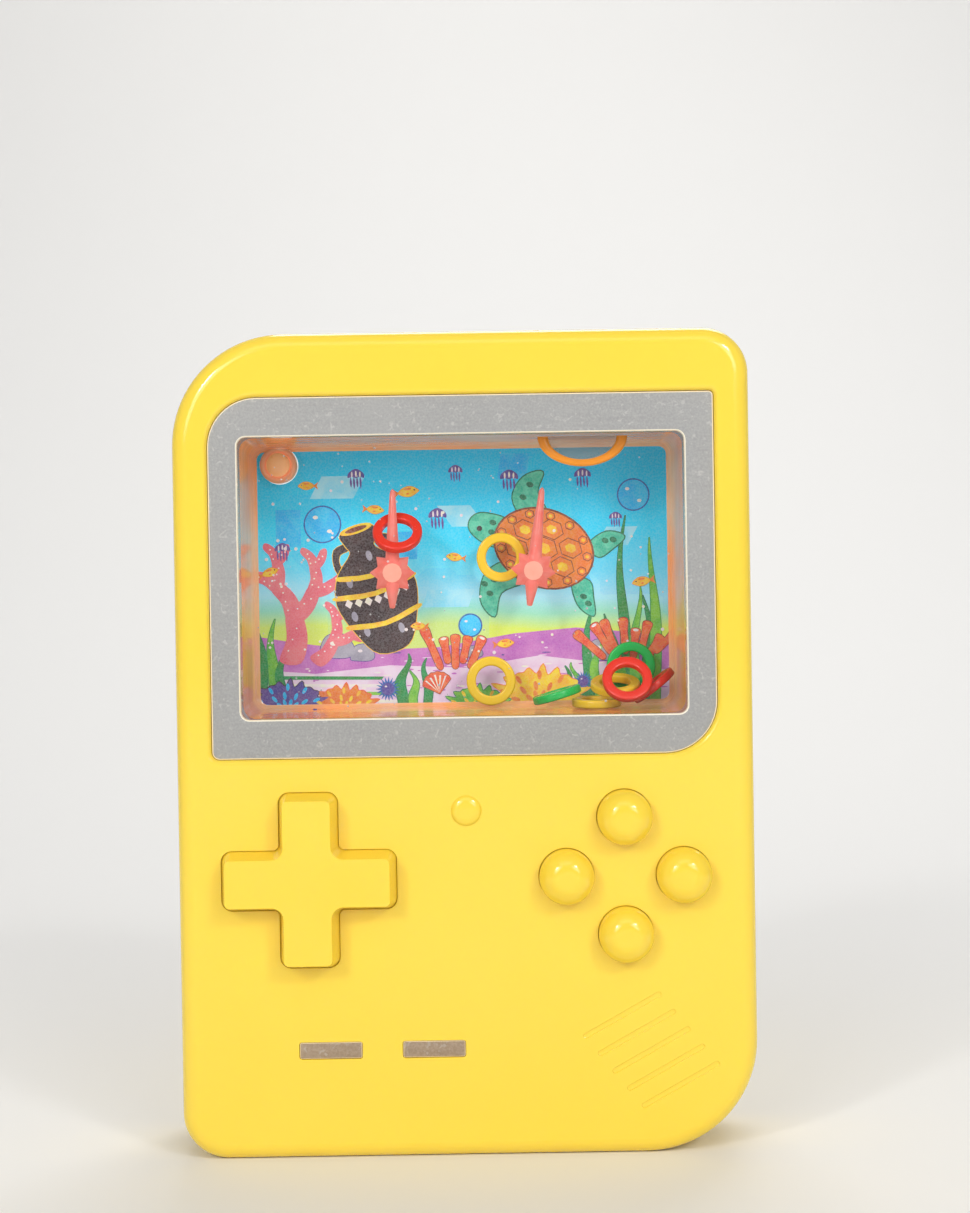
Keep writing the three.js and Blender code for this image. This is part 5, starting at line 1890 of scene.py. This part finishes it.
def jar() -> list[Flat]:
    """A dark sunken jar with two handles and yellow bands.

    Returns:
        Its flats of ink.
    """
    half = [(0.36, 1.5), (0.34, 1.2), (0.3, 1.0), (0.72, 0.6), (0.92, 0.0), (0.7, -0.75), (0.34, -1.3)]
    body = [*half, *((-x, y) for x, y in reversed(half))]
    handle = [
        (0.3, 1.25), (0.62, 1.2), (0.72, 0.85), (0.66, 0.6), (0.56, 0.66), (0.58, 0.9), (0.5, 1.06),
        (0.3, 1.1),
    ]
    flats = []
    for side in (1, -1):
        strap = smooth_outline([(side * x, y) for x, y in handle], 3)
        flats.append(Flat(Ink.NIGHT, strap, 0, Ink.YELLOW, 0.1))
    flats.append(Flat(Ink.NIGHT, smooth_outline(body, 4), 1, Ink.YELLOW, 0.12))
    for up, wide in ((0.6, 0.7), (0.2, 0.88), (-0.5, 0.8)):
        upper = [(-wide, up), (0.0, up - 0.14), (wide, up)]
        lower = [(wide, up - 0.11), (0.0, up - 0.25), (-wide, up - 0.11)]
        flats.append(Flat(Ink.YELLOW, smooth_outline([*upper, *lower], 3), 3))
    for k in range(7):
        diamond = oval(-0.66 + 0.22 * k, -0.08 - 0.05 * math.cos(0.8 * (k - 3)), 0.09, 0.11, 4)
        flats.append(Flat(Ink.CREAM, diamond, 3))
    for spot in ((-0.5, 0.4), (-0.62, -0.35), (-0.46, -0.75), (0.3, -0.9), (0.52, 0.36), (0.1, 0.85)):
        flats.append(Flat(Ink.STONE, oval(*spot, 0.07, 0.12, 10), 3))
    mouth = Flat(Ink.YELLOW, oval(0.0, 1.5, 0.38, 0.1, 16), 3)
    return [*flats, mouth, Flat(Ink.BROWN, oval(0.0, 1.5, 0.26, 0.055, 14), 4)]


def fan_shell() -> list[Flat]:
    """A fan-shaped shell with ribs.

    Returns:
        Its flats of ink.
    """
    angles = [math.radians(-75 + k * 12.5) for k in range(13)]
    fan = [(1.05 * math.sin(a), math.cos(a) * (1.0 if k % 2 else 0.93)) for k, a in enumerate(angles)]
    flats = [Flat(Ink.RED_CORAL, [(0.0, -0.6), *fan], 0, Ink.BROWN, 0.1)]
    for k in range(-2, 3):
        x, y = k * 0.36, 0.78 - abs(k) * 0.12
        flats.append(Flat(Ink.CREAM, [(0.0, -0.5), (x - 0.07, y), (x + 0.07, y)], 2))
    return flats


def urchin() -> list[Flat]:
    """A spiny urchin.

    Returns:
        Its flats of ink.
    """
    spines = oval(0.0, 0.0, 1.0, 1.0, 38)
    star = [(x, y) if k % 2 else (0.55 * x, 0.55 * y) for k, (x, y) in enumerate(spines)]
    body, glint = oval(0.0, 0.0, 0.52, 0.52, 20), oval(-0.16, 0.2, 0.1, 0.07, 8)
    return [Flat(Ink.NAVY, star), Flat(Ink.VIOLET, body, 1), Flat(Ink.CREAM, glint, 2)]


def bush(inks: tuple[Ink, Ink, Ink]) -> list[Flat]:
    """A rounded sponge with finger ends.

    Args:
        inks: Its ink, its line's and its folds'.

    Returns:
        Its flats.
    """
    points = []
    fingers = 12
    for k in range(fingers * 2):
        angle = math.pi * k / (fingers * 2 - 1)
        reach = (1.0 if k % 2 else 0.84) * (1 + 0.08 * math.sin(k * 2.4))
        points.append((1.4 * reach * math.cos(angle), reach * math.sin(angle)))
    flats = [Flat(inks[0], smooth_outline([*points, (0.0, -0.15)], 3), 0, inks[1], 0.14)]
    for ring, lift in ((0.78, 0.0), (0.5, 0.25), (0.26, 0.5)):
        for angle in (math.pi * (0.14 + 0.18 * k + lift * 0.2) for k in range(5)):
            fold = Spot(1.35 * ring * math.cos(angle), ring * math.sin(angle), 1.0, math.degrees(angle))
            flats.append(Flat(inks[2], fold.at(oval(0.0, 0.0, 0.13, 0.06, 10)), 2))
    return flats


def stone() -> list[Flat]:
    """A rounded stone with a pale glint.

    Returns:
        Its flats of ink.
    """
    outline = [(-1.0, -0.3), (-0.6, 0.7), (0.4, 0.8), (1.0, 0.0), (0.7, -0.5), (-0.6, -0.5)]
    glint = Flat(Ink.CREAM, oval(-0.2, 0.3, 0.2, 0.13, 10), 2)
    return [Flat(Ink.STONE, smooth_outline(outline), 0, Ink.VIOLET, 0.12), glint]


@dataclass
class PictureCard:
    """The printed card behind the tank: an underwater scene of this part's own design.

    Every motif is a thin flat of ink. Its layer sets how far it stands off the card, by hundredths
    of a millimetre, so that nothing printed later is hidden by what is under it. Places are in
    millimetres from the window's middle. The visible part is 67 by 42 mm.
    """

    layer_step: float = 0.012
    print_step: float = 0.0001
    print_steps: int = 60
    filler_hole: float = 3.0
    sheet_fit: float = -0.1
    print_fit: float = -0.4
    print_root: float = 0.01
    shape: Shape = field(default_factory=bmesh.new)
    inks: list[Ink] = field(default_factory=lambda: list(Ink))
    count: int = 0

    def stamp(self, ink: Ink, points: Sequence[Point], layer: int) -> None:
        """Prints one flat of ink on a layer.

        Args:
            ink: Its ink.
            points: Its outline.
            layer: Its layer.
        """
        self.count += 1
        lift = self.layer_step * (layer + 0.5) + self.print_step * (self.count % self.print_steps)
        verts = [self.shape.verts.new((x, WINDOW_MIDDLE + y, LEVELS.card_front + lift)) for x, y in points]
        self.shape.faces.new(verts).material_index = self.inks.index(ink)

    def drawn(self, ink: Ink, line: Ink, points: Sequence[Point], layer: int, width: float) -> None:
        """Prints a flat of ink with a line of another ink round it.

        Args:
            ink: The flat's ink.
            line: The line's ink.
            points: The flat's outline.
            layer: The line's layer, which is one under the flat's.
            width: The line's width in millimetres.
        """
        count = len(points)
        spin = sum(points[k - 1][0] * points[k][1] - points[k][0] * points[k - 1][1] for k in range(count))
        reach = math.copysign(width, spin)
        wide = []
        for k in range(count):
            before, here, after = (Vector(points[(k + shift) % count]) for shift in (-1, 0, 1))
            way = (after - before).normalized()
            wide.append(tuple(here + Vector((way.y, -way.x)) * reach))
        self.stamp(line, wide, layer)
        self.stamp(ink, points, layer + 1)

    def motif(self, flats: Iterable[Flat], spot: Spot, layer: int) -> None:
        """Prints a motif.

        Args:
            flats: The motif's flats of ink.
            spot: Where it goes.
            layer: Its lowest layer.
        """
        for flat in flats:
            points = spot.at(flat.points)
            if flat.line:
                self.drawn(flat.ink, flat.line, points, layer + flat.layer, flat.width)
            else:
                self.stamp(flat.ink, points, layer + flat.layer)

    def blade(self, inks: tuple[Ink, Ink], foot: Point, size: Point, sway: float, layer: int) -> None:
        """Prints one waving blade of weed.

        Args:
            inks: The blade's ink and its line's.
            foot: Where it grows.
            size: Its width and length.
            sway: How far it waves.
            layer: Its line's layer.
        """
        left, right = [], []
        steps = 18
        for k in range(steps + 1):
            t = k / steps
            middle = foot[0] + sway * math.sin(t * 6.0 + foot[0]) * t
            half = size[0] / 2 * (0.6 + 0.4 * math.sin(math.pi * min(1.0, 0.25 + t))) * (1.02 - t**4)
            left.append((middle - half, foot[1] + size[1] * t))
            right.append((middle + half, foot[1] + size[1] * t))
        self.drawn(*inks, [*right, *reversed(left)], layer, 0.12)

    def weed(self, x: float, y: float, height: float, blades: int, seed: int, layer: int) -> None:
        """Prints a clump of weed.

        Args:
            x: The clump's middle across the card.
            y: Where it grows, up the card.
            height: The tallest blade's length.
            blades: How many blades it has.
            seed: What its chances start from.
            layer: Its lines' layer.
        """
        chance = Random(seed)
        for k in range(blades):
            inks = (Ink.LEAF, Ink.DEEP_LEAF) if k % 2 else (Ink.DEEP_LEAF, Ink.PINE)
            foot = (x + (k - (blades - 1) / 2) * 1.7 + chance.uniform(-0.5, 0.5), y)
            size = (chance.uniform(1.2, 2.0), height * chance.uniform(0.5, 1.0))
            self.blade(inks, foot, size, chance.uniform(0.6, 1.4), layer)

    def branch(self, spot: Spot, length: float, width: float, forks: int, layer: int) -> None:
        """Prints a coral branch with a round tip, which forks until it is thin.

        Args:
            spot: Where it starts, and its turn.
            length: Its length.
            width: Its width at the foot.
            forks: How many times it still forks.
            layer: Its layer.
        """
        half, far, bend = width / 2, width * 0.42, 0.1 * length
        side = [(0.0, -half), (length / 2, -half - bend), (length, -far), (length + far, 0.0)]
        far_side = [(length, far), (length / 2, half - bend), (0.0, half)]
        self.stamp(Ink.PINK_CORAL, smooth_outline(spot.at([*side, *far_side]), 4), layer)
        dots = [(length * (0.25 + 0.25 * k), half * 0.3 * (1 - k)) for k in range(3)]
        for dot in spot.at(dots):
            self.stamp(Ink.CREAM, oval(*dot, 0.14, 0.14, 8), layer + 1)
        if forks:
            tip = spot.at([(length, 0.0)])[0]
            for turn, share in ((36, 0.76), (-32, 0.7)):
                fork = Spot(*tip, 1.0, spot.turn + turn)
                self.branch(fork, length * share, width * 0.76, forks - 1, layer)

    def tube_sponge(self, x: float, y: float, tubes: int, seed: int, layer: int) -> None:
        """Prints a stand of red tube sponges with pale mouths.

        Args:
            x: The stand's middle across the card.
            y: Where it stands, up the card.
            tubes: How many tubes it has.
            seed: What its chances start from.
            layer: Its lines' layer.
        """
        chance = Random(seed)
        for k in range(tubes):
            place = k - (tubes - 1) / 2
            spot = Spot(x + place * 1.2, y + 0.8 * (k % 2), 1.0, -(place * 13 + chance.uniform(-4, 4)))
            tall = chance.uniform(3.6, 6.8)
            half = [(0.5, 0.0), (0.55, tall * 0.6), (0.72, tall)]
            body = spot.at([*((-u, v) for u, v in half), *reversed(half)])
            self.drawn(Ink.RED_CORAL, Ink.BROWN, smooth_outline(body, 4), layer, 0.1)
            mouth = Ink.CREAM if k % 3 == 1 else Ink.ORANGE
            self.stamp(mouth, spot.at(oval(0, tall - 0.1, 0.46, 0.22, 14)), layer + 2)
            for j in range(3):
                dot = oval(-0.2 + 0.2 * j, tall * (0.3 + 0.2 * j), 0.12, 0.12, 8)
                self.stamp(Ink.ORANGE, spot.at(dot), layer + 2)

    def ground(self) -> None:
        """Prints the sea bed: a purple dune that pales to a pink shore, ripples and stones."""
        dune = (
            (-36.0, -8.8), (-27.0, -10.4), (-16.0, -11.8), (-4.0, -11.4), (8.0, -9.4), (18.0, -8.6),
            (28.0, -9.6), (36.0, -11.2),
        )
        shore = (
            (-36.0, -14.4), (-24.0, -15.4), (-12.0, -14.2), (0.0, -14.8), (12.0, -13.0), (24.0, -14.6),
            (36.0, -16.0),
        )
        floor = [(36.0, -24.0), (-36.0, -24.0)]
        self.stamp(Ink.DUNE, [*dune, *floor], 0)
        self.stamp(Ink.SHORE, [*shore, *floor], 1)
        chance = Random(31)
        for _ in range(150):
            x, y = chance.uniform(-34, 34), chance.uniform(-20.5, -11.5)
            ink = chance.choice((Ink.SHORE, Ink.VIOLET, Ink.DUNE) if y > -14 else (Ink.DUNE, Ink.CREAM))
            self.stamp(ink, oval(x, y, chance.uniform(0.15, 0.8), chance.uniform(0.06, 0.16), 10), 2)
        for k, ink in enumerate((Ink.DEEP_LEAF, Ink.CREAM, Ink.LEAF, Ink.CREAM)):
            y = -15.6 - k * 1.25
            stripe = [(-33.5, y), (-13.0 + k, y - 0.4), (-13.4 + k, y - 0.9), (-33.5, y - 0.6)]
            self.stamp(ink, stripe, 3)
        for place in ((-20.5, -11.4, 2.8), (-16.4, -12.4, 1.9), (22.0, -12.6, 2.4), (1.6, -12.4, 1.3)):
            self.motif(stone(), Spot(*place), 3)

    def light(self) -> None:
        """Prints the pale patches and slanting rays of light in the water."""
        for x, y, across, up, slant, ink in (
            (-21.0, 14.5, 7.0, 3.6, 2.0, Ink.FOAM), (1.0, 9.6, 5.4, 3.4, -2.4, Ink.FOAM),
            (24.0, 6.0, 5.0, 3.0, 1.6, Ink.FOAM), (-3.0, -3.6, 7.5, 2.8, 1.0, Ink.FOAM),
            (8.0, 17.5, 4.6, 4.0, 0.6, Ink.SKY), (-10.0, 5.0, 5.2, 4.4, 0.4, Ink.SKY),
            (-28.0, 8.0, 4.0, 6.0, 0.0, Ink.SKY), (18.0, -1.0, 6.0, 2.4, -1.0, Ink.SKY),
        ):
            low, high = y - up / 2, y + up / 2
            left, right = x - across / 2, x + across / 2
            self.stamp(ink, [(left, low), (right, low), (right + slant, high), (left + slant, high)], 0)

    def growth(self) -> None:
        """Prints the weed, the corals and the sponges."""
        for clump in (
            (-31.0, -20.5, 17.0, 3, 10, 4), (28.4, -20.5, 31.0, 4, 11, 4), (22.6, -20.5, 18.0, 4, 12, 4),
            (-8.0, -20.8, 10.0, 3, 13, 6), (17.6, -20.8, 7.0, 3, 15, 6),
        ):
            self.weed(*clump)
        self.branch(Spot(-28.0, -13.5, 1.0, 84.0), 7.4, 3.4, 3, 5)
        self.branch(Spot(-24.0, -13.5, 1.0, 48.0), 4.6, 2.3, 2, 5)
        self.tube_sponge(26.5, -13.4, 8, 21, 8)
        self.tube_sponge(-1.5, -14.6, 5, 23, 6)
        self.motif(bush((Ink.YELLOW, Ink.ORANGE, Ink.ORANGE)), Spot(12.0, -20.8, 6.0), 8)
        self.motif(bush((Ink.LEAF, Ink.PINE, Ink.YELLOW)), Spot(2.0, -21.6, 4.0), 9)
        self.motif(bush((Ink.VIOLET, Ink.NIGHT, Ink.SKY)), Spot(-28.5, -21.2, 4.8), 8)
        self.motif(bush((Ink.ORANGE, Ink.RED_CORAL, Ink.YELLOW)), Spot(-19.5, -21.4, 4.2), 8)

    def motifs(self) -> None:
        """Prints the large motifs, what swims round them, and the fine bubbles."""
        self.motif(turtle(), Spot(13.0, 4.2, 7.6, 158.0), 6)
        self.motif(jar(), Spot(-14.0, -2.6, 7.2, 17.0), 6)
        self.motif(fan_shell(), Spot(-4.4, -17.6, 2.3, 14.0), 9)
        self.motif(urchin(), Spot(-12.4, -18.0, 2.0), 8)
        self.motif(urchin(), Spot(19.0, -17.2, 1.6), 8)
        for x, y, size, layer in ((-22.5, 8.6, 2.8, 3), (27.5, 12.6, 2.4, 3), (1.0, -8.0, 1.7, 4)):
            self.motif(round_bubble(), Spot(x, y, size), layer)
        for place in (
            (-8.6, 13.6, 1.6, 8.0, False), (-14.0, 10.8, 1.3, -6.0, False), (-25.0, 14.8, 1.2, 0.0, True),
            (28.6, -1.4, 1.4, 10.0, True), (-1.4, 3.0, 1.2, -8.0, True), (-31.0, 1.0, 1.3, 20.0, False),
            (6.6, -11.0, 1.3, 6.0, False), (-7.4, -8.0, 1.1, 0.0, True),
        ):
            self.motif(fish(), Spot(*place), 13)
        for place in (
            (-17.0, 16.0, 1.3), (-4.0, 9.4, 1.4), (19.4, 15.6, 1.3), (7.6, 15.4, 1.4), (-29.0, 4.4, 1.2),
            (-1.0, 16.6, 1.1), (24.6, 8.8, 1.0),
        ):
            self.motif(jelly(), Spot(*place), 6)
        chance = Random(9)
        for _ in range(70):
            radius = chance.uniform(0.1, 0.3)
            fleck = oval(chance.uniform(-32, 32), chance.uniform(-13, 19), radius, radius, 8)
            self.stamp(Ink.CREAM, fleck, 14)

    def trimmed(self) -> Shape:
        """The print, cut off at the card's edges, with every flat deepened to root in the card.

        Returns:
            The shape.
        """
        shape, edge = self.shape, CHAMBER.grown(self.print_fit)
        for x, y in ((1, 0), (-1, 0), (0, 1), (0, -1)):
            bmesh.ops.bisect_plane(
                shape, geom=[*shape.verts, *shape.edges, *shape.faces], plane_no=(x, y, 0.0),
                plane_co=(x * edge.width / 2, WINDOW_MIDDLE + y * edge.height / 2, 0.0), clear_outer=True,
            )
        for item in bmesh.ops.extrude_face_region(shape, geom=shape.faces[:])["geom"]:
            if isinstance(item, bmesh.types.BMVert):
                item.co.z = LEVELS.card_front - self.print_root
        bmesh.ops.recalc_face_normals(shape, faces=shape.faces)
        return shape

    def build(self) -> None:
        """Builds the card and its print."""
        card = CHAMBER.grown(self.sheet_fit).block(LEVELS.card_back, LEVELS.card_front, 5)
        back, front = LEVELS.card_back - OVERRUN, LEVELS.card_front + OVERRUN
        card = combined(card, rod(self.filler_hole, back, front, *FILLER, 40))
        sheet = Dress("housing", "printed_card", (Finish.WATER,), ("picture_card",))
        add_piece("picture_card_sheet", card, sheet)
        self.ground()
        self.light()
        self.growth()
        self.motifs()
        add_piece("picture_card_print", self.trimmed(), Dress("housing", "printed_card", self.inks))


# The studio


@dataclass(frozen=True)
class Studio:
    """The camera of the photograph, a paper sweep and soft lamps.

    The camera stands 350 mm before the face, a little to the right of its middle, nearly level
    and rolled by a degree. Its focal length is given in pixels of a picture 1213 high. A lamp's
    last number is how brightly it would light a white surface that faces it, 1 being white. Its
    place and its size are in metres.
    """

    picture_height: float = 1213.0
    focal_px: float = 2238.4
    sensor: float = 36.0
    eye_mm: tuple[float, float, float] = (2.65, -350.0, 87.64)
    pitch: float = -0.66
    yaw: float = -0.12
    roll: float = -0.92
    world_level: float = 0.32
    aim: tuple[float, float, float] = (0.0, 0.0, 0.063)
    sweep_half: float = 2.0
    sweep_shift: float = -1.2
    sweep_height: float = 2.4
    sweep_round: float = 0.4
    softboxes: tuple[tuple[str, tuple[float, float, float], Point, float], ...] = (
        ("left_softbox", (-0.48, -0.78, 0.5), (0.09, 0.15), 0.16),
        ("right_softbox", (0.46, -0.72, 0.56), (0.15, 0.09), 0.17),
        ("upper_softbox", (-0.05, -0.85, 0.95), (0.9, 0.5), 0.1),
        ("front_left_softbox", (-0.55, -1.2, 0.5), (0.5, 0.5), 0.17),
        ("front_right_softbox", (0.55, -1.2, 0.5), (0.5, 0.5), 0.17),
        ("rear_softbox", (0.1, 0.55, 0.72), (0.5, 0.4), 0.35),
    )

    def camera(self) -> None:
        """Sets up the camera."""
        data = bpy.data.cameras.new("photo_camera")
        data.sensor_width = self.sensor
        data.lens = self.focal_px / self.picture_height * self.sensor
        data.clip_start = 0.01
        camera = bpy.data.objects.new("photo_camera", data)
        bpy.context.scene.collection.objects.link(camera)
        place = Matrix.Translation(Vector(self.eye_mm) * MM)
        for degrees, axis in ((self.yaw, "Z"), (self.pitch, "X"), (90.0, "X"), (self.roll, "Z")):
            place @= Matrix.Rotation(math.radians(degrees), 4, axis)
        camera.matrix_world = place
        bpy.context.scene.camera = camera

    def sweep(self) -> None:
        """Lays the paper floor, which curves up behind the object."""
        shape = bmesh.new()
        bmesh.ops.create_grid(shape, x_segments=1, y_segments=1, size=self.sweep_half)
        shifted(shape, 0.0, self.sweep_shift)

        def far(edge: Edge) -> bool:
            """True for the floor's far edge."""
            return at_level(0.0)(edge) and all(vert.co.y > 0.7 for vert in edge.verts)

        wall = bmesh.ops.extrude_edge_only(shape, edges=[edge for edge in shape.edges if far(edge)])
        for item in wall["geom"]:
            if isinstance(item, bmesh.types.BMVert):
                item.co.z += self.sweep_height
        round_edges(shape, self.sweep_round, 16, far)
        bmesh.ops.recalc_face_normals(shape, faces=shape.faces)
        floor = laid_out("paper_sweep", shape)
        floor.data.shade_smooth()
        floor.data.materials.append(Finish.PAPER.material())

    def lamp(self, name: str, place: Sequence[float], size: Point, level: float) -> None:
        """Hangs a softbox that faces the middle of the object.

        Args:
            name: The lamp's name.
            place: Where it hangs.
            size: Its width and height.
            level: How bright it is.
        """
        data = bpy.data.lights.new(name, "AREA")
        data.shape = "RECTANGLE"
        data.size, data.size_y = size
        reach = Vector(place) - Vector(self.aim)
        data.energy = level * math.pi**2 * reach.length_squared
        lamp = bpy.data.objects.new(name, data)
        lamp.location = place
        lamp.rotation_mode = "QUATERNION"
        lamp.rotation_quaternion = reach.to_track_quat("Z", "Y")
        bpy.context.scene.collection.objects.link(lamp)

    def world(self) -> None:
        """Lights the room with an even pale sky."""
        world = bpy.data.worlds.new("studio_room")
        world.use_nodes = True
        sky = world.node_tree.nodes["Background"]
        sky.inputs["Color"].default_value = (1.0, 1.0, 1.0, 1.0)
        sky.inputs["Strength"].default_value = self.world_level
        bpy.context.scene.world = world

    def build(self) -> None:
        """Sets up camera, sweep and lamps."""
        bpy.context.scene.view_settings.view_transform = "Standard"
        self.camera()
        self.sweep()
        self.world()
        for softbox in self.softboxes:
            self.lamp(*softbox)


def main() -> None:
    """Builds the scene piece by piece."""
    logging.basicConfig(level=logging.INFO, format="%(name)s %(message)s")
    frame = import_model()
    Studio().build()
    Housing().build()
    Controls().build()
    Tank().build(frame)
    PictureCard().build()
    Pegs().build()
    Rings().build()


if __name__ == "__main__":
    main()
